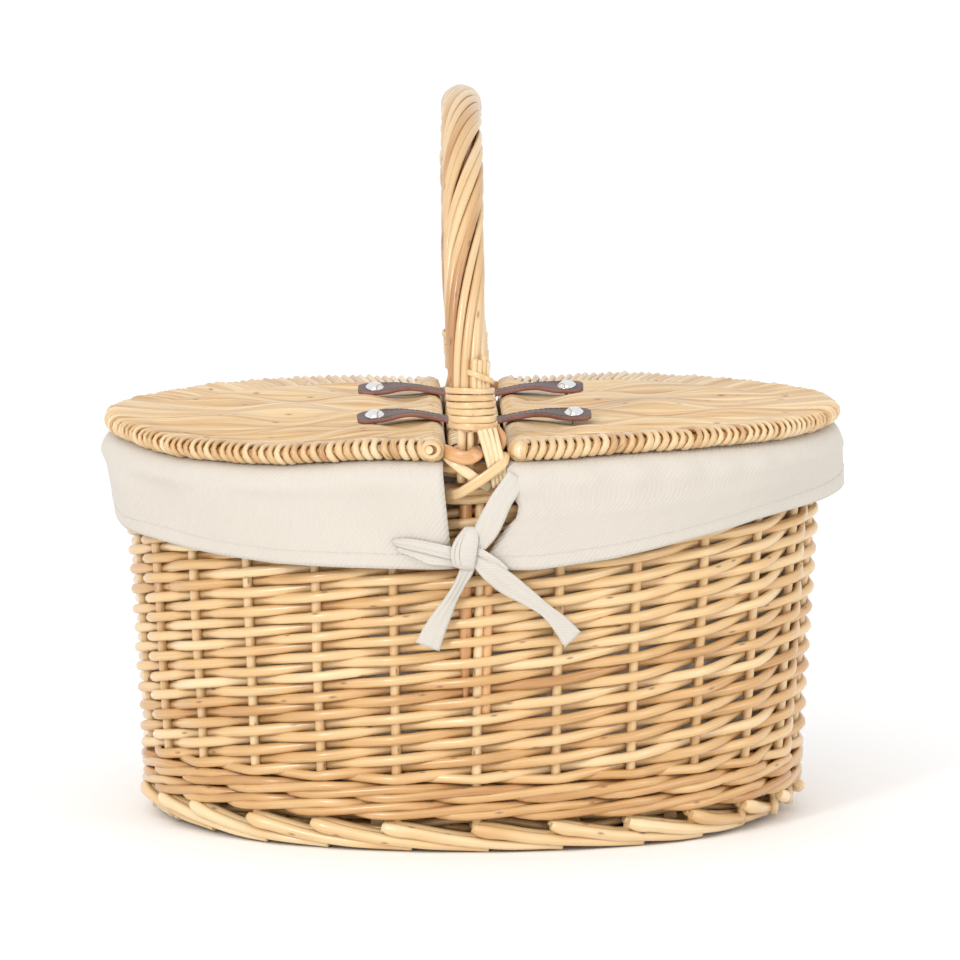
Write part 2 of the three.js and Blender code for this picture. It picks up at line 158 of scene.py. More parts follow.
def wall_face(angle):
    """The wall's outward direction."""
    angle = np.asarray(angle, float)
    return unit(np.stack([np.sin(angle) / FOOT_A, -np.cos(angle) / FOOT_B, 0 * angle], axis=-1))


def at_front(x, z, offset, side=FRONT):
    """Points on the wall near the handle. x runs right for somebody who faces that side."""
    x, z = np.asarray(x, float), np.asarray(z, float)
    points = wall_point(np.arcsin(x / (FOOT_A + FLARE * z + offset)), offset, z)
    return points if side == FRONT else points * np.array([-1, -1, 1])


# ---- meshes ----
def circle(sides):
    return [(math.cos(a), math.sin(a)) for a in np.arange(sides) * 2 * math.pi / sides]


ROUND, FINE = circle(10), circle(6)
SPLIT = [(math.copysign(abs(a) ** 0.7, a), math.copysign(abs(b) ** 0.7, b)) for a, b in ROUND]
STRIP = [(1, 0.35), (0.82, 0.86), (0.4, 1), (-0.4, 1), (-0.82, 0.86), (-1, 0.35),
         (-1, -0.35), (-0.82, -0.86), (0, -1), (0.82, -0.86), (1, -0.35)]


def build_mesh(name, points, faces, corner_grain, smooth):
    """A mesh object from arrays. faces is a list of index arrays; corner_grain is one UV per corner."""
    mesh = bpy.data.meshes.new(name)
    sizes = np.array([len(face) for face in faces])
    corners = np.concatenate(faces)
    mesh.vertices.add(len(points))
    mesh.vertices.foreach_set("co", np.asarray(points, np.float32).ravel())
    mesh.loops.add(len(corners))
    mesh.loops.foreach_set("vertex_index", corners.astype(np.int32))
    mesh.polygons.add(len(sizes))
    mesh.polygons.foreach_set("loop_start", (np.cumsum(sizes) - sizes).astype(np.int32))
    mesh.polygons.foreach_set("use_smooth", np.asarray(smooth, bool))
    grain = mesh.uv_layers.new(name="grain")
    mesh.update(calc_edges=True)
    grain.data.foreach_set("uv", np.asarray(corner_grain, np.float32).ravel())
    mesh.validate()
    made = bpy.data.objects.new(name, mesh)
    bpy.context.scene.collection.objects.link(made)
    return made


def quad_grain(u0, u1, v0, v1):
    """UVs for the four corners of each quad in a grid."""
    u0, u1, v0, v1 = np.broadcast_arrays(u0, u1, v0, v1)
    return np.stack([u0, v0, u0, v1, u1, v1, u1, v0], -1).reshape(-1, 2)


def straight(x, y, z):
    """A straight path through every y of a series."""
    return np.stack([x + 0 * y, y, z + 0 * y], -1)


def settle(made, body, material, replaced=()):
    """Gives a finished object its material and its body, and hides the parts it replaces."""
    made.data.materials.append(material)
    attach(made, body)
    if replaced:
        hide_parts(*replaced)
    return made


class Rods:
    """Rods gathered into one mesh. Materials read each rod's tone, and its painted shade where it lies deep
    in the weave.
    """

    def __init__(self):
        self.points, self.faces, self.grain, self.smooth = [], [], [], []
        self.tones, self.painted_shades = [], []
        self.count = 0

    def add(self, path, wide, thick=None, face=None, tone=None, shade=0.0, outline=ROUND,
            closed=False):
        """A tube along path, half as wide and thick as said. face is where its thickness points. shade is
        painted shade, which darkens the rod's colour.
        """
        path, form = np.asarray(path, float), np.asarray(outline, float)
        count, sides = len(path), len(form)
        wide = np.broadcast_to(wide, count)
        thick = wide if thick is None else np.broadcast_to(thick, count)
        tone = rng.uniform(0.2, 0.8) if tone is None else tone
        steps = np.roll(path, -1, 0) - np.roll(path, 1, 0) if closed else np.gradient(path, axis=0)
        along = unit(steps)
        out = carried(path) if face is None else np.broadcast_to(face, (count, 3))
        out = unit(out - (out * along).sum(-1, keepdims=True) * along)
        side = np.cross(out, along)
        ring = (path[:, None] + (side * wide[:, None])[:, None] * form[None, :, :1]
                + (out * thick[:, None])[:, None] * form[None, :, 1:])
        self.points.append(ring.reshape(-1, 3))
        self.tones.append(np.repeat(np.broadcast_to(tone, count), sides))
        self.painted_shades.append(np.repeat(np.broadcast_to(shade, count), sides))
        self.add_sides(path, sides, 2 * np.pi * wide.mean() / sides, closed)
        if not closed:
            self.add_ends(form * wide[0], count)
        self.count += count * sides

    def add_sides(self, path, sides, girth, closed):
        """The quads round each span of the tube. girth is the width of one."""
        loop = np.vstack([path, path[:1]]) if closed else path
        rows, here = np.arange(len(loop) - 1)[:, None], np.arange(sides)[None, :]
        beside = (here + 1) % sides
        first, second = (self.count + sides * (row % len(path)) for row in (rows, rows + 1))
        quads = np.stack([first + here, first + beside, second + beside, second + here], -1)
        self.faces.extend(quads.reshape(-1, 4))
        self.smooth.extend([True] * (len(rows) * sides))
        run = (run_of(loop) + rng.uniform(0, 9))[:, None]
        across = here * girth + rng.uniform(0, 9)
        self.grain.append(quad_grain(run[:-1], run[1:], across, across + girth))

    def add_ends(self, form, count):
        ring = self.count + np.arange(len(form))
        self.faces.extend([ring[::-1], ring + (count - 1) * len(form)])
        self.smooth.extend([False, False])
        self.grain.extend([form[::-1] * 0.2, form * 0.2])

    def finish_loose(self, name, *materials):
        made = build_mesh(name, np.concatenate(self.points), self.faces,
                          np.concatenate(self.grain), self.smooth)
        # The shade layer carries painted shade for the willow materials.
        for label, values in (("tone", self.tones), ("shade", self.painted_shades)):
            layer = made.data.attributes.new(label, "FLOAT", "POINT")
            layer.data.foreach_set("value", np.concatenate(values).astype(np.float32))
        for material in materials:
            made.data.materials.append(material)
        return made

    def finish(self, name, body, slot, material, *replaced):
        return settle(self.finish_loose(name), body, material, replaced)


def sheet_mesh(name, grid, closed=False):
    """A sheet through a grid of points [down][along], with UVs in metres of cloth."""
    rows, columns = grid.shape[:2]
    wrap = columns if closed else columns - 1
    top = np.arange(rows - 1)[:, None] * columns
    left = np.arange(wrap)[None, :]
    right = (left + 1) % columns
    quads = np.stack([top + left, top + columns + left, top + columns + right, top + right], -1)
    across = np.linalg.norm(np.roll(grid, -1, 1) - grid, axis=2).mean(0)
    down = np.linalg.norm(np.diff(grid, axis=0), axis=2).mean(1)
    u, v = (np.concatenate([[0], np.cumsum(steps)]) for steps in (across, down))
    grain = quad_grain(u[None, :wrap], u[None, 1:wrap + 1], v[:-1, None], v[1:, None])
    return build_mesh(name, grid.reshape(-1, 3), list(quads.reshape(-1, 4)), grain,
                      [True] * ((rows - 1) * wrap))


def cloth(name, grid, slot, material, *replaced, thickness, closed=False):
    """A sheet of cloth, its thickness grown to both sides."""
    made = sheet_mesh(name, grid, closed)
    solid = made.modifiers.new("thickness", "SOLIDIFY")
    solid.thickness = thickness
    solid.offset = 0
    return settle(made, "basket", material, replaced)


# ---- materials ----
class Shader:
    """A material's node tree, with the few kinds of node that these materials are made of."""

    def __init__(self, name):
        self.material = bpy.data.materials.new(name)
        self.material.use_nodes = True
        self.tree = self.material.node_tree
        self.surface = self.tree.nodes["Principled BSDF"]

    def put(self, socket, value):
        """Links another node's output to a socket, or sets its number or colour."""
        if isinstance(value, bpy.types.NodeSocket):
            self.tree.links.new(value, socket)
        elif socket.type == "RGBA":
            socket.default_value = (*value, 1)
        else:
            socket.default_value = value

    def node(self, kind, inputs, output=0, **settings):
        made = self.tree.nodes.new(f"ShaderNode{kind}")
        for key, value in settings.items():
            setattr(made, key, value)
        for key, value in inputs.items():
            self.put(made.inputs[key], value)
        return made.outputs[output]

    def attribute(self, name):
        return self.node("Attribute", {}, "Fac", attribute_name=name)

    def grain(self, along, across):
        """Cloth or rod coordinates, stretched."""
        uv = self.node("UVMap", {}, uv_map="grain")
        return self.node("Mapping", {"Vector": uv, "Scale": (along, across, 1)})

    def place(self):
        return self.node("TexCoord", {}, "Object")

    def noise(self, where, scale, detail):
        return self.node("TexNoise", {"Vector": where, "Scale": scale, "Detail": detail,
                                      "Roughness": 0.55}, "Fac")

    def maths(self, operation, a, b, clamp=False):
        return self.node("Math", {0: a, 1: b}, operation=operation, use_clamp=clamp)

    def plus(self, a, b):
        return self.maths("ADD", a, b)

    def times(self, a, b):
        return self.maths("MULTIPLY", a, b)

    def ramp(self, value, stops):
        colour = self.node("ValToRGB", {"Fac": value}, "Color")
        points = colour.node.color_ramp.elements
        while len(points) < len(stops):
            points.new(0.5)
        for point, (place, shade) in zip(points, stops):
            point.position = place
            point.color = (*shade, 1)
        return colour

    def mix(self, share, a, b, blend="MIX"):
        return self.node("Mix", {0: share, 6: a, 7: b}, 2, data_type="RGBA", blend_type=blend)

    def bump(self, height, distance):
        return self.node("Bump", {"Height": height, "Distance": distance})

    def finish(self, **values):
        for key, value in values.items():
            self.put(self.surface.inputs[key.replace("_", " ")], value)
        return self.material


def willow(name, stops, gloss):
    """Peeled willow under a thin varnish: a tone for each rod, streaks, blotches and small knots, and
    painted shade.
    """
    shader = Shader(name)
    streaks = shader.noise(shader.grain(9, 900), 1.0, 4)
    blotches = shader.noise(shader.grain(16, 60), 1.0, 2)
    tone = shader.attribute("tone")
    for pattern, share in ((streaks, 0.6), (blotches, 0.9)):
        tone = shader.plus(tone, shader.times(shader.maths("SUBTRACT", pattern, 0.5), share))
    colour = shader.ramp(tone, stops)
    cells = shader.node("TexVoronoi", {"Vector": shader.grain(45, 130), "Scale": 1.0}, "Distance",
                        voronoi_dimensions="2D")
    chosen = shader.maths("GREATER_THAN", cells.node.outputs["Color"], 0.68)
    knots = shader.maths("SUBTRACT", 1.1, shader.times(cells, 8.0), True)
    knots = shader.times(shader.times(knots, chosen), 0.85)
    colour = shader.mix(knots, colour, (0.17, 0.07, 0.025))
    # Painted shade: the shade attribute mixes the colour towards a darker brown where a rod lies deep in
    # the weave.
    painted_shade_colour = shader.mix(1.0, colour, (0.62, 0.4, 0.24), "MULTIPLY")
    colour = shader.mix(shader.attribute("shade"), colour, painted_shade_colour)
    height = shader.plus(shader.times(streaks, 0.6), blotches)
    roughness = shader.plus(shader.times(streaks, 0.25), gloss - 0.1)
    return shader.finish(Base_Color=colour, Roughness=roughness, Normal=shader.bump(height, 0.35 * MM),
                         Coat_Weight=0.9, Coat_Roughness=0.23)


def cotton(name, colour, deep, pitch):
    """Cotton twill: fine diagonal ribs pitch apart, slubs and soft stains."""
    shader = Shader(name)
    turned = shader.node("Mapping", {"Vector": shader.grain(1, 1), "Rotation": (0, 0, math.radians(-40))})
    ribs = shader.node("TexWave", {"Vector": turned, "Scale": 0.314 / pitch / 2, "Distortion": 0.6,
                                   "Detail": 1.0}, "Fac")
    slubs = shader.noise(shader.grain(700, 90), 1.0, 3)
    cloud = shader.noise(shader.place(), 14, 3)
    base = shader.mix(shader.plus(shader.times(slubs, 0.55), shader.times(cloud, 0.45)), deep, colour)
    base = shader.mix(shader.times(ribs, 0.12), base, deep)
    height = shader.plus(ribs, shader.times(slubs, 0.8))
    return shader.finish(Base_Color=base, Roughness=0.93, Normal=shader.bump(height, 0.14 * MM),
                         Sheen_Weight=0.15, Sheen_Roughness=0.5)


def leather(name, stops, scale, gloss):
    """Leather with a pebbled grain and rubbed high spots."""
    shader = Shader(name)
    pebble = shader.node("TexVoronoi", {"Vector": shader.place(), "Scale": scale}, "Distance")
    rub = shader.noise(shader.place(), 90, 4)
    colour = shader.ramp(shader.plus(shader.times(pebble, 0.5), rub), stops)
    height = shader.plus(pebble, shader.times(rub, 0.6))
    roughness = shader.plus(shader.times(rub, 0.3), gloss)
    return shader.finish(Base_Color=colour, Roughness=roughness, Normal=shader.bump(height, 0.12 * MM))


def nickel():
    """Plated studs with fine scratches."""
    shader = Shader("nickel")
    scratches = shader.noise(shader.place(), 900, 2)
    colour = shader.mix(shader.noise(shader.place(), 160, 3), (0.72, 0.71, 0.7), (0.9, 0.9, 0.91))
    roughness = shader.plus(shader.times(scratches, 0.12), 0.1)
    return shader.finish(Base_Color=colour, Metallic=1.0, Roughness=roughness,
                         Normal=shader.bump(scratches, 0.02 * MM))


def plain_floor():
    """The floor and background: nearly white, faintly mottled."""
    shader = Shader("studio_floor")
    colour = shader.mix(shader.noise(shader.place(), 0.6, 2), (0.955, 0.955, 0.955), (0.97, 0.97, 0.97))
    return shader.finish(Base_Color=colour, Roughness=0.9)


HONEY = [(0.0, (0.4, 0.175, 0.045)), (0.3, (0.57, 0.32, 0.115)), (0.6, (0.69, 0.45, 0.205)),
         (1.0, (0.79, 0.6, 0.345))]
PALE = [(0.0, (0.43, 0.21, 0.07)), (0.3, (0.59, 0.365, 0.16)), (0.6, (0.69, 0.48, 0.245)),
        (1.0, (0.77, 0.61, 0.37))]
STRAW = [(0.0, (0.46, 0.24, 0.08)), (0.4, (0.62, 0.385, 0.165)), (1.0, (0.73, 0.53, 0.295))]
AMBER = [(0.0, (0.33, 0.12, 0.03)), (0.5, (0.52, 0.24, 0.08)), (1.0, (0.7, 0.4, 0.17))]
BROWN = [(0.3, (0.055, 0.036, 0.034)), (0.9, (0.16, 0.12, 0.115))]
CUT_EDGE = [(0.3, (0.13, 0.045, 0.032)), (0.9, (0.3, 0.13, 0.1))]
honey_willow = willow("honey_willow", HONEY, 0.42)
pale_willow = willow("pale_willow", PALE, 0.45)
cane_strip = willow("cane_strip", STRAW, 0.3)
amber_willow = willow("amber_willow", AMBER, 0.4)
twill = cotton("cotton_twill", (0.62, 0.575, 0.51), (0.54, 0.49, 0.427), 1.1 * MM)
tape = cotton("cotton_tape", (0.62, 0.58, 0.523), (0.55, 0.505, 0.445), 0.7 * MM)
strap_face = leather("strap_leather", BROWN, 900, 0.42)
strap_edge = leather("strap_edge", CUT_EDGE, 1500, 0.5)
thread = cotton("stitch_thread", (0.24, 0.2, 0.19), (0.1, 0.08, 0.08), 0.4 * MM)
studs_metal = nickel()


# ---- camera and light ----
def place_in_scene(name, data, location, turns):
    made = bpy.data.objects.new(name, data)
    made.location = location
    made.rotation_euler = turns
    bpy.context.scene.collection.objects.link(made)
    return made


def make_camera():
    """At the eye's height over a table, looking down 8 degrees, a long lens 3.1 m away."""
    distance, height, aside = 3.127, 0.634, 4.4 * MM
    azimuth, pitch = math.radians(-1.0), math.radians(7.99)
    lens = bpy.data.cameras.new("camera")
    lens.sensor_width = 36
    lens.lens = 202.35
    lens.clip_end = 100
    place = (aside * math.cos(azimuth) + distance * math.sin(azimuth),
             aside * math.sin(azimuth) - distance * math.cos(azimuth), height)
    bpy.context.scene.camera = place_in_scene("camera", lens, place, (math.pi / 2 - pitch, 0, azimuth))


def area_light(name, place, size, power, colour):
    """A round lamp that looks at the middle of the basket."""
    lamp = bpy.data.lights.new(name, "AREA")
    lamp.shape = "DISK"
    lamp.size = size
    lamp.energy = power
    lamp.color = colour
    aim = np.array([0, 0, 0.15]) - np.array(place)
    tilt = math.atan2(math.hypot(aim[0], aim[1]), -aim[2])
    place_in_scene(name, lamp, place, (tilt, 0, math.atan2(aim[1], aim[0]) - math.pi / 2))


def make_studio():
    """A white floor under an even white sky, with a soft light from the upper left."""
    reach = 40.0
    corners = np.array([[-reach, -reach, 0], [reach, -reach, 0], [reach, reach, 0], [-reach, reach, 0]])
    floor = build_mesh("studio_floor", corners, [np.arange(4)], corners[:, :2], [False])
    floor.data.materials.append(plain_floor())
    world = bpy.data.worlds.new("studio")
    world.use_nodes = True
    sky = world.node_tree.nodes["Background"].inputs
    sky["Color"].default_value = (1, 1, 1, 1)
    sky["Strength"].default_value = 1.0
    bpy.context.scene.world = world
    sun = bpy.data.lights.new("sun", "SUN")
    sun.energy = 0.3
    sun.angle = math.radians(40)
    place_in_scene("sun", sun, (0, 0, 0), (math.radians(42), 0, math.radians(-15)))
    area_light("key", (-1.2, -1.9, 1.1), 0.5, 18.5, (1.0, 0.99, 0.97))
    area_light("fill", (1.9, -1.5, 0.8), 0.9, 9.5, (1, 1, 1))
    bpy.context.scene.view_settings.view_transform = "Standard"


# ---- wall ----
ROD = 2.8 * MM  # half the thickness of a weaving rod
STAKE = 2.85 * MM
REACH = 4.1 * MM  # how far a weaver swings to each side of the stakes
STAKE_NUDGE = 2 * MM  # the stakes at the handle make room for its bow
BOW_SHIFT = 6 * MM
ROWS = 27  # rows of side weaving, one above the other
WALE_ROW = 10 * MM


def make_stakes():
    """Upright rods. The two at the handle lean, because the bow's ends push them aside."""
    rods, count = Rods(), 40
    heights = np.linspace(5 * MM, BORDER_TOP - 8 * MM, count)
    for i in range(STAKES):
        path = wall_point(i * STEP + wander(count, 0.0012), WALL_MIDDLE + wander(count, 0.3 * MM), heights)
        if i % (STAKES // 2) == 0:
            lean = STAKE_NUDGE * (0.1 + 0.9 * eased(heights, 0.03, 0.19))
            path[:, 0] += lean if i == 0 else -lean
        rods.add(settled(path), STAKE * (1 + wander(count, 0.03)), face=wall_face(i * STEP),
                 tone=rng.uniform(0.45, 0.85))
    rods.finish("willow_stakes", "basket", "willow", honey_willow)


def make_side_weave():
    """One rod starts at each stake and rises as it goes round, in and out at every stake."""
    rods, low = Rods(), weave_low.z + ROD
    rise = (weave_high.z - ROD - low) / ROWS
    count = int((ROWS + 1.5) * 8)
    passed = np.linspace(-0.9, ROWS + 0.6, count)  # stakes passed so far
    swing = np.arcsin(0.96 * np.cos(np.pi * passed)) / np.arcsin(0.96)  # nearly straight between
    butt = 1.06 - 0.12 * (passed % 16) / 16  # two lots of rods, each thinner to its tip
    for k in range(STAKES):
        angle = (k + passed) * STEP
        offset = WALL_MIDDLE + REACH * swing + wander(count, 0.35 * MM, 14)
        height = low + rise * np.clip(passed, 0, ROWS) + wander(count, 0.5 * MM, 16)
        thick = ROD * butt * (1 + wander(count, 0.03, 20))
        tone = rng.uniform(0.3, 0.72) + wander(count, 0.11, 6)
        # Painted shade: each weaver is darkened where it swings in behind the stakes.
        rods.add(wall_point(angle, offset, height), thick * 1.06, thick * 0.94, wall_face(angle), tone,
                 0.12 * eased(-swing, 0, 1))
    rods.finish("willow_side_weave", "basket", "willow", honey_willow, "side_weave")


def make_wale(place, low, rounds, tone):
    """Three rods together, each in front of two stakes and behind the third."""
    rods, count = Rods(), rounds * STAKES * 6
    passed = np.linspace(0, rounds * STAKES, count)
    turns = passed / STAKES
    level = np.floor(turns) + eased(turns % 1, 1 - 2.5 / STAKES, 1)
    angle = math.pi + passed * STEP
    for strand in range(3):
        phase = (passed + strand) % 3
        inward = eased(np.minimum(phase, 3 - phase), 0.85, 0.15)
        offset = WALL_MIDDLE + REACH * 0.95 * (1 - 2 * inward) + wander(count, 0.25 * MM, 20)
        twist = np.where(phase > 0.6, phase - 1.5, -phase / 0.6 * 1.5 + 0.9)
        height = low + WALE_ROW * (level + 0.5) + 2.7 * MM * np.clip(twist / 0.55, -1, 1)
        thick = ROD * (1 + wander(count, 0.03, 12))
        # Painted shade: each strand is darkened where it goes in behind a stake.
        rods.add(wall_point(angle, offset, height + wander(count, 0.3 * MM, 18)), thick, thick,
                 wall_face(angle), tone + rng.uniform(-0.2, 0.2) + wander(count, 0.1, 8), 0.5 * inward)
    rods.finish(f"willow_{place}_wale", "basket", "willow", honey_willow, f"{place}_wale")


def make_foot_border():
    """Each stake's cut foot starts under the wale and runs down to the right, over older tips."""
    rods, span, count = Rods(), 2.25, 44
    run = [(0, 16.0, 2.5, -1.6), (0.06, 15.0, 3.3, -1.6), (0.42, 11.2, 3.5, -2.0), (0.8, 8.2, 3.4, -2.7),
           (1.36, 5.4, 3.0, -3.7), (1.8, 3.8, 2.6, -4.6), (span, 2.5, 2.1, -5.4)]
    passed = np.linspace(0, span, count)
    height, thick, offset = through(run, passed).T * MM
    for i in range(STAKES):
        angle = (i - 0.12 + rng.uniform(-0.07, 0.07) + passed) * STEP
        ends = eased(np.abs(np.sin(angle)), 0.6, 1)  # the ends of the foot are tucked in and up
        tuck = (6.5 + 2 * np.sin(angle)) * ends * MM * eased(passed, 0, 1.2)
        size = thick * rng.uniform(0.94, 1.06)
        level = height + wander(count, 0.2 * MM) + 2.5 * MM * ends
        level = level + rng.uniform(-1.2, 0.5) * MM * (1 - eased(passed, 0, 0.5))
        path = wall_point(angle, offset - tuck + wander(count, 0.25 * MM), np.maximum(level, size))
        rods.add(path, size, size, wall_face(angle), rng.uniform(0.6, 1.0) + wander(count, 0.08))
        # A second rod behind it closes the ring.
        size = size * 0.9
        inner = wall_point(angle, offset - tuck - 5.2 * MM, np.maximum(level + 1.5 * MM, size))
        rods.add(inner, size, size, wall_face(angle), 0.7)
    rods.finish("willow_foot_border", "basket", "willow", honey_willow, "foot_border")


def make_top_border():
    """The stakes' tops, bent over and plaited into a rope round the rim."""
    rods, reach, count = Rods(), 3.0, 60
    passed = np.linspace(-0.25, reach, count)
    turn = passed / reach * 2 * np.pi
    offset = WALL_MIDDLE + 4.0 * MM * np.sin(turn + 0.3)
    height = (BORDER_TOP + top_wale_high.z) / 2 + 3.0 * MM * np.sin(turn * 0.5 + 0.2) - 0.3 * MM
    for i in range(STAKES):
        angle = (i + passed) * STEP
        points = settled(wall_point(angle, offset, height + wander(count, 0.3 * MM)))
        # Painted shade over the whole plaited border.
        rods.add(points, STAKE * 1.05, STAKE * 1.05, wall_face(angle), shade=0.15)
    rods.finish("willow_top_border", "basket", "willow", honey_willow, "stakes_and_border")


# ---- floor ----
def make_floor():
    """Long and cross sticks, with weavers in rings round them, over one and under the next."""
    sticks, rings = Rods(), Rods()
    lines, nodes = [], []
    for kind, axis, count, share in (("long", 0, 3, 0.5), ("cross", 1, 5, 0.425)):
        for i in range(count):
            nodes.append(f"base_{kind}_stick_{i + 1}")
            low, high = (np.array(corner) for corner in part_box(nodes[-1]))
            ends = np.tile((low + high) / 2, (2, 1))
            ends[:, axis] = low[axis], high[axis]
            lines.append((1 - axis, ends[0, 1 - axis]))
            sticks.add(np.linspace(*ends, 30), (high[2] - low[2]) * share, tone=0.4)
    middle = (floor_low.z + floor_high.z) / 2
    pitch, half = 4.3 * MM, 2.2 * MM
    angle = np.linspace(0, 2 * np.pi, 160, endpoint=False)
    for ring in range(int(floor_high.y / pitch) - 1):
        inset = ring * pitch + half
        a, b = floor_high.x - inset, floor_high.y - inset
        path = np.stack([a * np.cos(angle), b * np.sin(angle), middle + 0 * angle], -1)
        crossings = sorted(turn for axis, at in lines for turn in crossings_at(a, b, axis, at))
        if crossings:
            order = np.interp(angle, crossings, np.arange(len(crossings)))
            path[:, 2] += 3.2 * MM * np.cos(np.pi * (order + ring))
        rings.add(path, half, half, (0, 0, 1), rng.uniform(0.3, 0.7), closed=True)
    sticks.finish("willow_floor_sticks", "basket", "willow", honey_willow, *nodes)
    rings.finish("willow_floor_weave", "basket", "willow", honey_willow, "base_weave")


def crossings_at(a, b, axis, at):
    """The angles at which an ellipse crosses the line x = at (axis 0) or y = at (axis 1)."""
    share = at / (a, b)[axis]
    if abs(share) >= 1:
        return []
    turn = math.acos(share) if axis == 0 else math.asin(share)
    other = -turn if axis == 0 else math.pi - turn
    return [turn % (2 * math.pi), other % (2 * math.pi)]


# ---- handle ----
LEAN = 6.0 * MM  # the arch leans to the left, most of it low down
FOOT_SHIFT = 0.6 * MM  # its front foot stands to the left of its back one
ROPE = (rope_high.x - rope_low.x) / 2
SPRING = rope_low.z
ARCH_RISE = rope_high.z - ROPE - SPRING
ARCH_HALF = rope_high.y - ROPE
FULLNESS = 0.9


def arch(share):
    """The middle line of the handle from front to back, and its outward direction."""
    angle = np.pi * np.asarray(share, float)
    out_y = -np.sign(np.cos(angle)) * np.abs(np.cos(angle)) ** FULLNESS
    up = np.abs(np.sin(angle)) ** FULLNESS
    lean = -0.55 * MM + FOOT_SHIFT * out_y - LEAN * (1 - (1 - up) ** 3.5)
    points = np.stack([lean, ARCH_HALF * out_y, SPRING + ARCH_RISE * up], -1)
    outward = unit(np.stack([0 * angle, -np.cos(angle) / ARCH_HALF, np.sin(angle) / ARCH_RISE], -1))
    return points, outward


def leg_frame(side, z):
    """The handle's middle at a height on one side, and the directions right and outward there."""
    rise = ((z - SPRING) / ARCH_RISE) ** (1 / FULLNESS)
    share = math.asin(rise) / math.pi
    points, outward = arch(np.array([share if side == FRONT else 1 - share]))
    return points[0], np.array([-side * 1.0, 0, 0]), outward[0]


def make_rope():
    """Strands laid round the bow: almost straight at its feet and twisted at the top."""
    rods, core = Rods(), Rods()
    strands, count = 12, 170
    fine = np.linspace(0.004, 0.996, 2000)
    fine_run = run_of(arch(fine)[0])
    run = np.linspace(0, fine_run[-1], count)
    points, outward = arch(np.interp(run, fine_run, fine))
    near_end = np.minimum(run, run[-1] - run)
    rate = 8 + 26 * eased(near_end, 0, 0.13)  # radians of twist for each metre of handle
    twist = np.concatenate([[0], np.cumsum((rate[1:] + rate[:-1]) / 2 * np.diff(run))])
    thick = (2.7 - 0.25 * eased(near_end, 0.02, 0.15)) * MM
    for k in range(strands):
        angle = twist + (k + rng.uniform(-0.1, 0.1)) * 2 * np.pi / strands + wander(count, 0.04, 4)
        radius = ROPE + 0.1 * MM - 0.78 * thick + wander(count, 0.3 * MM, 5)
        radial = np.cos(angle)[:, None] * outward + np.sin(angle)[:, None] * np.array([1.0, 0, 0])
        size = thick * rng.uniform(0.92, 1.08) * (1 + wander(count, 0.04, 6))
        # Painted shade on every strand.
        rods.add(points + radial * radius[:, None], size, size * 0.78, radial,
                 rng.uniform(0.2, 0.82) + wander(count, 0.12, 4), 0.17)
    # Painted shade: the core gets a low tone and heavy shade, so it shows dark through the gaps between the
    # strands.
    core.add(points, ROPE - 4.0 * MM, tone=0.1, shade=0.8)
    rods.finish("handle_strands", "basket", "handle_willow", pale_willow, "handle_rope")
    core.finish("handle_core", "basket", "willow", honey_willow)


def make_bow_ends():
    """The bow's pointed ends between the stakes, and the short rod beside each."""
    rods, low, tip = Rods(), 84 * MM, 34 * MM
    for _, side in SIDES:
        z = np.linspace(low, SPRING + 8 * MM, 60)
        x = -BOW_SHIFT * (1 - 0.6 * eased(z, 0.2, 0.24))
        size = 4.1 * MM * np.interp(z, [low, low + tip], [0.3, 1])
        rods.add(at_front(x, z, WALL_MIDDLE - 0.5 * MM, side), size, size * 0.9, tone=0.55)
        z = np.linspace(liner_low.z, liner_high.z + 18 * MM, 40)
        x = np.linspace(5.4, 8.4, 40) * MM
        rods.add(at_front(x, z, WALL_MIDDLE + 0.5 * MM, side), 2.7 * MM, tone=0.85)
    rods.finish("handle_bow_ends", "basket", "willow", amber_willow,
                "handle_bow", "handle_liner_front", "handle_liner_back")


def make_bindings():
    """Six turns of flat cane round each foot of the rope, and at the front a loose loop above them."""
    for name, side in SIDES:
        rods = Rods()
        for turn in range(6):
            middle, right, outward = leg_frame(side, BINDING_LOW + (2.4 + 3.8 * turn) * MM)
            radius = ROPE + 1.4 * MM + rng.uniform(-0.2, 0.3) * MM
            add_loop(rods, middle, right, outward, radius, (2.0 - 0.06 * turn) * MM,
                     rng.uniform(-0.025, 0.025))
        if side == FRONT:
            middle, right, outward = leg_frame(side, 273.0 * MM)
            middle = middle + 6.0 * MM * right + 7.2 * MM * outward
            add_loop(rods, middle, right, outward, 7.2 * MM, 1.6 * MM, -0.38)
        rods.finish(f"handle_cane_binding_{name}", "basket", "cane", cane_strip,
                    f"handle_binding_{name}")


def add_loop(rods, middle, right, outward, radius, half, lean):
    """A closed loop of flat cane round a bundle. It is a little squarer than a circle."""
    turn = np.linspace(0, 2 * np.pi, 40, endpoint=False)
    up = np.cross(right, outward)
    up = up if up[2] > 0 else -up
    squash = 1 + 0.03 * np.cos(4 * turn + rng.uniform(0, 6)) + 0.012 * np.cos(7 * turn)
    radial = np.cos(turn)[:, None] * outward + np.sin(turn)[:, None] * right
    path = middle + radial * (radius * squash)[:, None] + up * (lean * radius * np.sin(turn))[:, None]
    rods.add(path, half, 0.75 * MM, radial, rng.uniform(0.38, 0.75), outline=STRIP, closed=True)


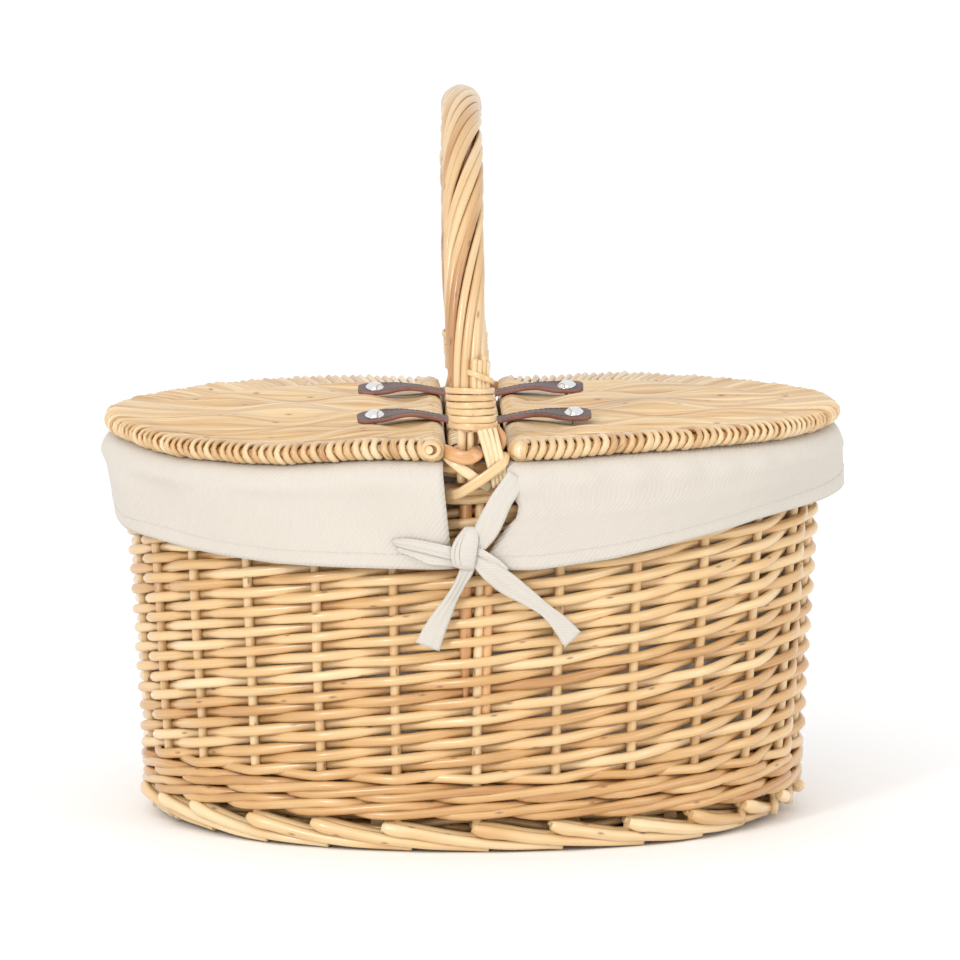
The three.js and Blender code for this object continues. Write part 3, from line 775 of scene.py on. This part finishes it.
def make_strand_ends():
    """Two strands go straight down from the binding. Four thin ones pass through it and fan out."""
    top, thin = BINDING_LOW + 1.5 * MM, 1.6 * MM
    for name, side in SIDES:
        rods = Rods()
        for x, half in ((-8.6, 2.5), (-3.4, 2.0)):
            z = np.linspace(top, 214 * MM, 14)
            offset = 0.5 * MM - 2.5 * MM * eased(z, 0.24, 0.22)
            rods.add(at_front(x * MM + 0 * z, z, offset, side), half * MM, tone=0.7)
        for k in range(4):
            z = np.linspace(top, (212 + 1.6 * k) * MM, 18)
            x = (1.0 + 2.8 * k + (9.2 - 0.8 * k) * np.linspace(0, 1, 18) ** 0.9) * MM
            held = (4.4 - 0.42 * k * k) * MM  # the binding curves away from the outer ones
            offset = held + (4.6 * MM - held) * eased(z, top, 0.228)
            rods.add(at_front(x, z, offset, side), thin, tone=rng.uniform(0.6, 0.95))
            middle, right, outward = leg_frame(side, 262 * MM)
            turn = math.radians(10 + 15 * k)
            foot = middle + (ROPE - 0.9 * MM) * (math.cos(turn) * outward + math.sin(turn) * right)
            rise = np.linspace(0, 1, 10)[:, None]
            stub = foot + rise * np.array([0, 0, (22 + rng.uniform(-3, 2)) * MM])
            stub = stub + rise * outward * 1.3 * MM + rise**2 * right * 0.6 * MM
            rods.add(stub, thin, tone=rng.uniform(0.5, 0.9))
        rods.finish(f"handle_strand_tails_{name}", "basket", "handle_willow", pale_willow,
                    f"handle_strand_ends_{name}")


def add_strip(rods, side, points, half, tone, thick=1.0):
    """A flat strip through (x, z, offset) points in front of the wall, sizes in millimetres."""
    x, z, offset = (np.array(column) * MM for column in zip(*points))
    face = wall_face(0.0) * np.array([-side, -side, 1])
    rods.add(rounded(at_front(x, z, offset, side), 2 * MM), half * MM, thick * MM, face, tone,
             outline=STRIP)


def make_lashings():
    """The border's bent end, and two flat strips crossed below it, front and back."""
    for name, side in SIDES:
        rods, bends = Rods(), Rods()
        add_strip(bends, side, [(-17.5, 231.5, -3), (-15.2, 231.5, 3), (-9.5, 229.6, 6.2), (-4, 229.4, 6.8),
                                (-0.6, 231.0, 5.2), (0.8, 233, 1.5)], 3.9, 0.6, 1.6)
        if side == FRONT:
            add_strip(bends, side, [(10.5, 245, -4), (13.8, 241.5, -2), (14.8, 237, -1), (12.8, 232, -2)],
                      1.9, 0.5, 1.8)
        add_strip(rods, side, [(-17, 229.5, 0), (-11.5, 225, 4.2), (-4, 219.5, 5), (3, 214.5, 3),
                               (8, 211, 0)], 2.9, 0.8)
        add_strip(rods, side, [(15.8, 231, 1), (14.2, 226, 6.3), (6, 219.5, 7.6), (-4, 212.5, 6.4),
                               (-11, 208, 3), (-18, 206.5, -1)], 2.9, 0.6)
        rods.finish(f"handle_lashing_strips_{name}", "basket", "cane", pale_willow,
                    f"handle_lashing_{name}")
        bends.finish(f"border_bends_{name}", "basket", "willow", amber_willow)


# ---- middle bar ----
def make_centre_bar():
    """Flat strips woven across two rods, from front to back between the lids."""
    rods, strips = Rods(), Rods()
    width, pitch = bar_high.x - bar_low.x, 5.0 * MM
    middle = (bar_low.z + bar_high.z) / 2 + 0.6 * MM
    y = np.linspace(-1, 1, 40) * (bar_high.y + 12 * MM)
    for x in (-10.5 * MM, 10.5 * MM, 0):
        rods.add(straight(x, y, middle), 3.2 * MM, tone=0.5)
    turn = np.linspace(0, 2 * np.pi, 36, endpoint=False)
    across, up = np.cos(turn), np.sin(turn)
    x = width / 2 * np.sign(across) * np.abs(across) ** 0.6
    face = np.stack([across, 0 * turn, up], -1)
    for i in range(int(2 * bar_high.y / pitch)):
        y = -bar_high.y + (i + 0.5) * pitch + 0.5 * MM * np.sin(turn + i)
        z = middle + 4.3 * MM * np.sign(up) * np.abs(up) ** 0.8
        z -= (-1) ** i * 0.5 * MM * np.cos(2 * np.pi * x / width)
        strips.add(np.stack([x, y, z], -1), 2.45 * MM, 0.6 * MM, face, rng.uniform(0.5, 1),
                   outline=STRIP, closed=True)
    strips.finish("centre_bar_strips", "basket", "willow", pale_willow, "centre_bar_weave")
    rods.finish("centre_bar_rods", "basket", "willow", honey_willow,
                "centre_bar_rod_left", "centre_bar_rod_right")


# ---- lining ----
CLOTH = 1.1 * MM
GAP_LEFT = [(165, 13), (229, 19)]  # how far the left skirt's edge is from the middle, at each height
GAP_RIGHT = [(165, 5), (172, 5.5), (178, 8.5), (184, 12.5), (190, 16.5), (195, 21.5), (202, 22.5),
             (206, 20), (211, 15.5), (230, 16.7)]
HEM_LEFT = [(33, 165.5), (54, 170.5), (73, 174), (90, 182)]  # its height at each angle from the handle
HEM_RIGHT = [(12, 165), (24, 170), (37, 178), (51, 186), (70, 191), (90, 197)]
THREAD = 0.28 * MM  # half its thickness
HEM_FOLD = 8.5 * MM  # how far above the hem it is sewn


def between(knots, at):
    """A value in metres, on straight lines through (place, value in millimetres) knots."""
    places, values = np.array(knots, float).T
    return np.interp(at, places, values * MM)


def skirt_profile(hem, flare, folds, down):
    """Offset and height from the seam inside the rim, over it, and down to the hem."""
    top, fall = 217 * MM, 217 * MM - hem
    shoulder, middle, edge = folds
    knots = [(0, -16.8 * MM, 211 * MM), (0.1, -17.2 * MM, 220 * MM), (0.16, -14.6 * MM, 224.6 * MM),
             (0.23, -9 * MM, 226.1 * MM), (0.32, -1.5 * MM, 226.1 * MM), (0.39, 5.0 * MM, 223.4 * MM),
             (0.46, 8.3 * MM + shoulder, top), (0.6, 7.8 * MM + middle, top - 0.26 * fall),
             (0.8, 6.3 * MM + middle + 0.4 * flare, top - 0.63 * fall), (1, 4.8 * MM + edge + flare, hem)]
    return through(knots, down)


def make_skirt(side):
    """Half of the overhanging band of the lining, from the handle's front foot to its back one."""
    right, columns, rows = side == "right", 170, 40
    down, along = np.linspace(0, 1, rows), np.linspace(0, 1, columns)
    heights = skirt_profile(HEM, 0, (0, 0, 0), down)[:, 1]
    front, back = (GAP_RIGHT, GAP_LEFT) if right else (GAP_LEFT, GAP_RIGHT)
    size = FOOT_A + FLARE * heights
    start = np.arcsin(between(front, heights / MM) / size)
    end = np.pi - np.arcsin(between(back, heights / MM) / size)
    angle = (1 if right else -1) * (start[:, None] + (end - start)[:, None] * along[None, :])
    folds = wander(columns, 0.7 * MM, 24), wander(columns, 1.1 * MM, 9), wander(columns, 1.0 * MM, 14)
    grid = np.zeros((rows, columns, 3))
    for j, own in enumerate(zip(*folds)):
        toward_end = abs(math.sin(angle[rows // 2, j]))
        hem = between(HEM_RIGHT if right else HEM_LEFT, math.degrees(math.asin(toward_end)))
        flare = 6 * MM * eased(toward_end, 0.85, 1) if right else 0
        offset, z = skirt_profile(hem, flare, own, down).T
        from_edge = min(j, columns - 1 - j)
        offset = offset - 1.3 * MM * (1 - eased(from_edge, 0, 2.5)) * eased(down, 0.4, 0.5)
        grid[:, j] = wall_point(angle[:, j], offset, z)
    grid = settled(grid if right else grid[:, ::-1])
    skirt = cloth(f"lining_{side}_skirt", grid, "lining", twill, f"lining_skirt_{side}", thickness=CLOTH)
    sewn = sew_hem(grid, f"lining_{side}_skirt_stitches")


def sew_hem(grid, name):
    """A running stitch along the hem of a skirt."""
    face = grid + unit(np.cross(np.gradient(grid, axis=0), np.gradient(grid, axis=1))) * CLOTH / 2
    climb = np.linalg.norm(np.diff(face[::-1], axis=0), axis=2).cumsum(0)
    columns, last = np.arange(grid.shape[1]), len(grid) - 1
    row = (climb < HEM_FOLD).sum(0).clip(1, len(climb) - 2)
    below = climb[row - 1, columns]
    part = ((HEM_FOLD - below) / (climb[row, columns] - below)).clip(0, 1)[:, None]
    line = face[last - row, columns] * (1 - part) + face[last - row - 1, columns] * part
    stitches = Rods()
    add_stitches(stitches, line, 3.4 * MM)
    return stitches.finish(name, "basket", "lining", twill)


def add_stitches(rods, line, pitch):
    """A running stitch along a line."""
    fine = rounded(line, pitch / 4)
    for i in range(0, len(fine) - 4, 4):
        rods.add(fine[i:i + 4], THREAD, tone=0.5, outline=FINE)


def make_side_panel():
    """The lining's upright band inside the wall. Its top shows only between the skirts."""
    columns, rows = 180, 34
    angle = np.linspace(0, 2 * np.pi, columns, endpoint=False)
    ripple = 0.5 * MM * np.sin(19 * angle + 1) + 0.35 * MM * np.sin(31 * angle)
    top = np.where(np.abs(np.sin(angle)) < 0.12, panel_high.z, 212.5 * MM)
    share = np.linspace(0, 1, rows)[:, None]
    z = top + (panel_low.z + 1 * MM - top) * share
    grid = settled(wall_point(angle, -16.9 * MM + ripple * np.sin(np.pi * share), z))
    panel = cloth("lining_wall_cloth", grid, "lining", twill, "lining_side_panel", thickness=CLOTH,
                  closed=True)


def make_base_panel():
    """The lining's oval floor, as a square grid pressed into an oval."""
    side = 48
    u, v = np.meshgrid(np.linspace(-1, 1, side), np.linspace(1, -1, side))
    low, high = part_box("lining_base_panel")
    x = u * np.sqrt(1 - v**2 / 2) * (high.x - 0.8 * MM)
    y = v * np.sqrt(1 - u**2 / 2) * (high.y - 0.8 * MM)
    pucker = 0.35 * MM * np.sin(60 * x + 3 * np.sin(40 * y)) + 0.3 * MM * np.sin(75 * y)
    grid = np.stack([x, y, (low.z + high.z) / 2 + 0.5 * MM + pucker], -1)
    panel = cloth("lining_floor_cloth", grid, "lining", twill, "lining_base_panel", thickness=CLOTH)


# ---- ties ----
TAPE = 0.9 * MM


def ribbon(name, points, side, pleats, ridges=2.0):
    """A tape through (x, z, offset, half width, roll) points on the wall. roll turns it on its length."""
    table = np.array(points, float)
    x, z, offset, half = table[:, :4].T * MM
    centre = rounded(at_front(x, z, offset, side), 1.6 * MM)
    place = run_of(table[:, :2])
    at = np.linspace(0, place[-1], len(centre))
    half, roll = through(np.column_stack([place, half, np.radians(table[:, 4])]), at).T
    along = unit(np.gradient(centre, axis=0))
    across = unit(np.cross(along, np.array([0, side, 0])))
    face = np.cross(across, along)
    turn, lift = np.cos(roll)[:, None], np.sin(roll)[:, None]
    across, face = across * turn + face * lift, face * turn - across * lift
    s = np.linspace(-1, 1, 11)[None, :]
    squeeze = np.clip(1.4 - half / (6.5 * MM), 0.25, 1)  # narrow places are pleated more
    depth = pleats * MM * squeeze[:, None] * np.cos(np.pi * ridges * s) + 0.4 * MM * (1 - s**2)
    wave = wander(len(centre), 0.3 * MM, 3)
    aside = half[:, None] * s + wave[:, None]
    grid = centre[:, None] + across[:, None] * aside[..., None] + face[:, None] * depth[..., None]
    return cloth(name, grid, "tape", tape, thickness=TAPE)


def make_ties():
    """Two tapes at each foot of the handle, knotted together, with their tails hanging."""
    for name, side in SIDES:
        left = ribbon(f"tape_left_{name}", [
            (-47, 181.2, 6.6, 1.6, -6), (-38, 180, 8.4, 3.0, -8), (-26, 178, 9.0, 3.5, -8),
            (-15, 176, 9.2, 3.6, -4), (-5, 174, 8.0, 4.0, 0), (2, 170.6, 8.4, 4.8, 0),
            (7, 165.6, 8.2, 5.6, -8), (16, 158.6, 6.6, 6.5, -12), (28, 149.8, 5.2, 4.9, -5),
            (38, 141.4, 4.4, 3.7, 10), (46.5, 133, 3.8, 5.0, 14), (54, 124, 3.4, 6.3, 12)], side, 0.25)
        under = ribbon(f"tape_left_fold_{name}", [
            (-44, 177.5, 6.6, 1.4, 0), (-34, 174.6, 7.6, 2.6, 4), (-22, 171.6, 8.0, 3.2, 6),
            (-8, 170.5, 7.0, 3.2, 0)], side, 0.15)
        over = ribbon(f"tape_left_turn_{name}", [
            (-3, 177.5, 8.0, 2.2, 0), (3, 175.6, 9.2, 2.0, 0), (9.5, 171.6, 9.0, 1.9, -10),
            (17, 165.6, 7.4, 1.2, -14)], side, 0.1)
        right = ribbon(f"tape_right_{name}", [
            (22, 219, 7.6, 5.6, 18), (19, 213.5, 9.2, 6.2, 16), (14, 206, 10.4, 6.3, 10),
            (9.8, 198, 10.6, 6.7, 6), (5.6, 190, 10.0, 6.8, 4), (1.5, 182.5, 8.8, 5.6, 0),
            (-1.5, 176, 7.2, 4.0, 0), (-5.0, 166, 7.2, 3.7, 0), (-9.6, 157, 6.0, 3.0, 10),
            (-14.5, 148.6, 4.8, 3.4, 14), (-19.4, 139, 4.2, 5.0, 10), (-23.6, 129.6, 3.8, 6.2, 6),
            (-27.3, 120.8, 3.6, 7.0, 4)], side, 0.55, 3)
        knot = make_knot(f"tie_knot_{name}", side)
        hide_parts(f"tie_left_{name}")
        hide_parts(f"tie_right_{name}")


def make_knot(name, side):
    """The turn of tape that closes the knot: wrapped over the other tape, in layers at its left."""
    turn = np.linspace(0, 2 * np.pi, 48, endpoint=False)
    s = np.linspace(-1, 1, 61)[None, :]
    up, out = np.sin(turn)[:, None], np.cos(turn)[:, None]
    form = [(-1, -4.6, 2.6, 166.2), (-0.85, -6.4, 4.6, 167.4), (-0.4, -7.6, 6.3, 171.4),
            (0.15, -6.8, 6.6, 178.6), (0.7, -4.3, 4.6, 186.6), (1, -4.0, 2.4, 190.2)]
    middle, half, level = (column[:, None] for column in through(form, up[:, 0]).T)
    x = middle + half * s
    z = level - 1.5 * s * (1 - np.abs(up))
    creases = np.exp(-(((s + 0.72) / 0.05) ** 2)) + np.exp(-(((s + 0.36 + 0.2 * up) / 0.045) ** 2))
    bulge = 1 - 0.45 * np.abs(s) ** 2.4
    depth = 8.4 + 4.4 * out * bulge - np.where(out > 0, 1.1 * creases * eased(out, 0.2, 0.6), 0)
    grid = at_front(x * MM, z * MM, depth * MM, side).transpose(1, 0, 2)
    return cloth(name, grid, "tape", tape, thickness=TAPE, closed=True)


# ---- straps and studs ----
STRAP_Y = abs(leaf_low.y + leaf_high.y) / 2
STRAP_HALF = (leaf_high.y - leaf_low.y) / 2
STRAP_TIP = leaf_high.x
STRAP_THICK = 1.2 * MM
STUD_X = (stud_low.x + stud_high.x) / 2
LEATHER = [(1, -0.55), (1, 0.55), (0.94, 1), (0.5, 1), (0, 1), (-0.5, 1), (-0.94, 1),
           (-1, 0.55), (-1, -0.55), (-0.94, -1), (0, -1), (0.94, -1)]
LEATHER_EDGES = (0, 1, 6, 7, 8, 11)


def strap_height(x):
    """The strap's middle line: low over the bar, up over the lid's edge, and down to its tip."""
    knots = [(0, 237.4), (10, 237.7), (17, 239.2), (24, 240.6), (33, 242.1), (41, 242.4), (50, 241.4),
             (58, 240.7), (67, 240.2)]
    return through(np.array(knots) * MM, x)[:, 0]


def strap_face_up(x):
    """Which way the strap's face looks: up, and tipped towards the front near its end."""
    roll = np.radians(14) * eased(x, 0.034, 0.054)
    return np.stack([0 * roll, -np.sin(roll), np.cos(roll)], -1)


def make_straps():
    """Each leather strap is two pieces that meet over the middle bar, one over each lid."""
    x, rounding, sides = np.linspace(0, STRAP_TIP, 60), 7 * MM, len(LEATHER)
    face = strap_face_up(x)
    half = STRAP_HALF * np.sqrt(1 - 0.82 * np.clip((x - STRAP_TIP + rounding) / rounding, 0, 1) ** 2.4)
    flat = np.cross(face, (1.0, 0, 0))
    for name, side in SIDES:
        for lid, end in (("left", -1), ("right", 1)):
            place, middle_y = f"{lid}_{name}", side * STRAP_Y
            y = middle_y + end * 0.6 * MM * side * np.sin(x / 0.02)
            path = settled(np.stack([end * x, y, strap_height(x)], -1))
            strap, stitches = Rods(), Rods()
            strap.add(path, half, STRAP_THICK, face, 0.5, outline=LEATHER)
            made = strap.finish_loose(f"leather_strap_{place}", strap_face, strap_edge)
            for i, polygon in enumerate(made.data.polygons):
                capped = i >= (len(x) - 1) * sides
                polygon.material_index = 1 if capped or i % sides in LEATHER_EDGES else 0
            hang(made, lid, end, f"strap_leaf_{place}", *([f"strap_centre_{name}"] if end < 0 else []))
            for edge in (-1, 1):
                line = path + flat * edge * (half - 1.9 * MM)[:, None]
                add_stitches(stitches, (line + face * (STRAP_THICK + 0.12 * MM))[1:57], 3.0 * MM)
            hang(stitches.finish_loose(f"strap_stitches_{place}", thread), lid, end)
            make_stud(f"stud_{place}", f"{lid}_lid", end * STUD_X, middle_y)


def hang(piece, lid, end, *nodes):
    """Bakes a strap piece's placement into its mesh and hides the parts it replaces."""
    height = strap_height([0.0])[0]
    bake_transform(piece)
    if nodes:
        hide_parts(*nodes)


def make_stud(node, body, x, y):
    """A domed head on the strap, its shank through the lid and the burr below."""
    profile = [(0.02, 3.9), (1.6, 3.8), (3.1, 3.4), (4.2, 2.7), (4.9, 2.0), (5.3, 1.7), (5.6, 1.5),
               (5.6, 1.1), (5.3, 1.0), (1.2, 1.0), (1.2, -12.2), (3.0, -12.3), (3.2, -12.8),
               (2.4, -13.3), (0.02, -13.4)]
    radius, rise = (column[:, None] * MM for column in np.array(profile).T)
    turn = np.linspace(0, 2 * np.pi, 36, endpoint=False)
    _, tip_y, tip_z = strap_face_up(abs(x))
    tipped = np.where(rise > 0, -tip_y / tip_z, 0)  # the head lies on the tipped strap
    grid = np.stack(np.broadcast_arrays(
        x + radius * np.cos(turn), y + radius * np.sin(turn) - tipped * rise,
        strap_height([abs(x)])[0] + rise + tipped * radius * np.sin(turn)), -1)
    settle(sheet_mesh(f"nickel_{node}", settled(grid), closed=True), body, studs_metal, [node])


# ---- lids ----
LID_A = lid_high.x
LID_EDGE = lid_low.x
LID_B = lid_high.y / math.sqrt(1 - (LID_EDGE / LID_A) ** 2)
RIM = 5.55 * MM  # half the height of the bound rim
LID_MIDDLE = (lid_low.z + lid_high.z) / 2
BAR_X = LID_EDGE + RIM
LID_STICKS = [62 * MM, 104 * MM, 146 * MM]
LID_FACE = LID_MIDDLE + 2.3 * MM  # the height of the lid's woven face
LID_WAVE = 2.1 * MM


def lid_reach(x):
    """Half the lid's width from front to back at x."""
    return math.sqrt(1 - (x / LID_A) ** 2) * LID_B


def lid_outline(angle):
    """A point on the lid's edge and the direction inwards from it, both flat."""
    point = np.array([LID_A * math.cos(angle), LID_B * math.sin(angle)])
    inward = -np.array([math.cos(angle) / LID_A, math.sin(angle) / LID_B])
    return point, inward / np.linalg.norm(inward)


def lid_rod_path(angle, bar_y, level):
    """One rod: from under the rim, round it, in to the bend, then along to the straight edge.
    level, from -1 to 1, says how far it goes over (or under) the first stick."""
    edge, inward = lid_outline(angle)
    toward_bar = np.clip(angle / 0.4, -1, 1) * np.array([inward[1], -inward[0]])
    bend = edge + inward * (27 + 11 * math.sin(angle)) * MM
    first = edge + inward * (RIM + 4 * MM)
    wrap = RIM - (1.6 + rng.uniform(-0.35, 0.35)) * MM
    points = [[*(edge + inward * step * MM), LID_MIDDLE - low * MM] for step, low in ((26, 2.2), (15, 3.9))]
    for turn in np.radians([-75, -45, -15, 15, 45, 75]):
        lean = 2.6 * MM * eased(-turn, -0.5, 1.3)
        flat = edge + inward * (RIM - wrap * math.cos(turn)) + toward_bar * lean
        points.append([*flat, LID_MIDDLE + 0.3 * MM + wrap * math.sin(turn)])
    points.append([*first, LID_MIDDLE + wrap + 0.2 * MM])
    points.append([*(first * 0.45 + bend * 0.55), LID_FACE + 1.2 * MM])
    bar_top = LID_MIDDLE + RIM - 1.2 * MM
    if bend[0] > BAR_X + 22 * MM:
        levels = [(bend[0], LID_FACE + 0.6 * MM), (BAR_X + 15 * MM, LID_FACE - level * 1.2 * MM),
                  (BAR_X, bar_top)]
        levels += [(x, LID_FACE + (-1) ** i * level * LID_WAVE)
                   for i, x in enumerate(LID_STICKS) if x < bend[0] - 14 * MM]
        xs = np.linspace(bend[0], BAR_X, max(6, int((bend[0] - BAR_X) / (5 * MM))))
        zs = through(levels, xs)[:, 0]
    else:
        xs = np.linspace(max(bend[0], BAR_X + 9 * MM), BAR_X, 4)
        zs = np.linspace(LID_FACE + 1.2 * MM, bar_top, 4)
    share = eased((xs - BAR_X) / (xs[0] - BAR_X), -0.15, 1.0)
    points.extend(np.stack([xs, bar_y + (bend[1] - bar_y) * share, zs], -1))
    for turn in np.radians([35, 0, -40, -80]):
        points.append([BAR_X - 4.7 * MM * math.cos(turn), bar_y, LID_MIDDLE + 4.7 * MM * math.sin(turn)])
    points.append([BAR_X + 6 * MM, bar_y, LID_MIDDLE - 4.2 * MM])
    return rounded(points, 2.6 * MM)


def make_lid(name, end):
    """A D-shaped lid. end is 1 for the right lid and -1 for the left."""
    mirror, rods = np.array([end, 1, 1.0]), Rods()
    first = LID_EDGE + (14 if end < 0 else 9) * MM
    angles = even_angles(5.15 * MM, first)
    bar_reach = lid_reach(BAR_X) - 7 * MM
    levels = group_levels(len(angles))
    for angle, bar_y, level in zip(angles, np.linspace(-bar_reach, bar_reach, len(angles)), levels):
        path = lid_rod_path(angle + rng.uniform(-0.0025, 0.0025), bar_y, level)
        size = len(path)
        along = np.linspace(0, 1, size)
        on_rim = eased(along, 0.02, 0.05) * (1 - eased(along, 0.16, 0.26))
        wide = (2.35 - 0.75 * along) * (1 + wander(size, 0.05)) + on_rim * rng.uniform(-0.1, 0.4)
        thick = 1.75 - 0.3 * along - 0.4 * on_rim
        path[:, 2] += wander(size, 0.3 * MM, 4)
        path[:, 1] += wander(size, 0.35 * MM, 3)
        tone = rng.uniform(0.25, 0.88) + wander(size, 0.12, 3)
        path = settled(path * mirror)
        # Painted shade, slight, on every lid rod.
        rods.add(path, wide * MM, thick * MM, carried(path, (0, 0, -1)), tone, 0.06, SPLIT)
    rods.finish(f"{name}_rods", name, "lid_willow", pale_willow, f"{name}_weave")
    make_lid_frame(name, mirror, first)


def even_angles(pitch, last_x):
    """Angles evenly spaced round the lid's curved edge, as far as last_x from the middle."""
    limit = math.acos(last_x / LID_A)
    fine = np.linspace(-limit, limit, 4000)
    run = run_of(np.column_stack([LID_A * np.cos(fine), LID_B * np.sin(fine)]))
    return np.interp(np.linspace(0, run[-1], int(run[-1] / pitch)), run, fine)


def group_levels(count):
    """Rods lie in groups of 8 to 13, one group over a stick and the next under it."""
    levels, over = [], 1
    while len(levels) < count:
        size = int(rng.integers(8, 14))
        levels.extend(over * np.sin(np.pi * (np.arange(size) + 0.5) / size) ** 0.7)
        over = -over
    return levels[:count]


def make_lid_frame(name, mirror, first):
    """The hoop in the rim, the bar along the straight edge, the sticks, and the wrapped corners."""
    rods, limit, hoop = Rods(), math.acos(first / LID_A), []
    for angle in np.linspace(-limit, limit, 120):
        edge, inward = lid_outline(angle)
        hoop.append([*(edge + inward * RIM), LID_MIDDLE])
    # Painted shade: the hoop inside the rim gets a low tone and heavy shade, so it shows dark through the
    # gaps between the rim strands.
    rods.add(settled(hoop * mirror), 3.2 * MM, tone=0.2, shade=0.6)
    for x, half, short in [(BAR_X, 3.3 * MM, 8 * MM)] + [(x, 1.6 * MM, RIM) for x in LID_STICKS]:
        y = np.linspace(-1, 1, 40) * (lid_reach(x) - short)
        rods.add(settled(straight(x, y, LID_MIDDLE) * mirror), half, tone=0.6)
    add_corner(rods, mirror, BACK, first)
    if mirror[0] > 0:
        add_corner(rods, mirror, FRONT, first)
    else:
        add_open_corner(rods, mirror, first)
    sticks = [f"{name}_stick_{i + 1}" for i in range(3)]
    rods.finish(f"{name}_frame_rods", name, "lid_willow", pale_willow,
                f"{name}_hoop", f"{name}_edge_rod", *sticks)


def add_corner(rods, mirror, side, first):
    """Where the straight edge meets the rim, strips wrap round the corner like a fan."""
    bend = first - BAR_X - 1.5 * MM
    corner = np.array([BAR_X + bend, side * (lid_reach(BAR_X) - RIM - bend)])
    turn = np.radians(np.linspace(115, -110, 14))
    for turned in np.radians(np.linspace(0, 90, 6)):
        flat = np.array([-math.cos(turned), side * math.sin(turned)])
        middle = corner + flat * bend + np.outer(4.6 * MM * np.cos(turn), flat)
        middle[0] -= flat * 4 * MM
        path = np.column_stack([middle, LID_MIDDLE + 0.2 * MM + 4.4 * MM * np.sin(turn)])
        path = rounded(path * mirror, 1.5 * MM)
        rods.add(path, 1.9 * MM, 0.9 * MM, carried(path, (0, 0, 1)), rng.uniform(0.4, 0.95), outline=STRIP)


def add_open_corner(rods, mirror, first):
    """The left lid's front corner: a strip curls round, and a rod's cut end shows inside the curl."""
    x, z = (BAR_X + first) / 2 - 2.2 * MM, LID_MIDDLE + 0.9 * MM
    edge_y = -lid_reach(x)
    turn = np.linspace(0, 2 * np.pi, 30, endpoint=False)
    for ring in range(5):
        radius, y = (4.0 - 0.06 * ring) * MM, edge_y + (1.2 + 2.5 * ring) * MM
        path = np.stack([x + radius * 1.12 * np.cos(turn), y + 0 * turn, z + radius * np.sin(turn)], -1)
        rods.add(path * mirror, 1.35 * MM, 1.5 * MM, (0, 1, 0), rng.uniform(0.4, 0.7), closed=True)
    y = np.linspace(edge_y + 24 * MM, edge_y + 0.9 * MM, 8)
    path = straight(x + 1.2 * MM, y, z) * mirror
    rods.add(path, 2.4 * MM, tone=0.8)
    # Painted shade: a dark rod behind the cut end, with low tone and heavy shade, stands for the shadow
    # inside the curl.
    rods.add(path + np.array([1.5, 2, 0]) * MM, 3.4 * MM, tone=0.1, shade=0.6)


make_camera()
make_studio()
make_stakes()
make_side_weave()
make_wale("bottom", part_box("bottom_wale")[0].z, 2, 0.26)
make_wale("top", top_wale_low.z + 1.5 * MM, 1, 0.5)
make_foot_border()
make_top_border()
make_floor()
make_rope()
make_bow_ends()
make_bindings()
make_strand_ends()
make_lashings()
make_centre_bar()
make_skirt("left")
make_skirt("right")
make_side_panel()
make_base_panel()
make_ties()
make_lid("left_lid", -1)
make_lid("right_lid", 1)
make_straps()
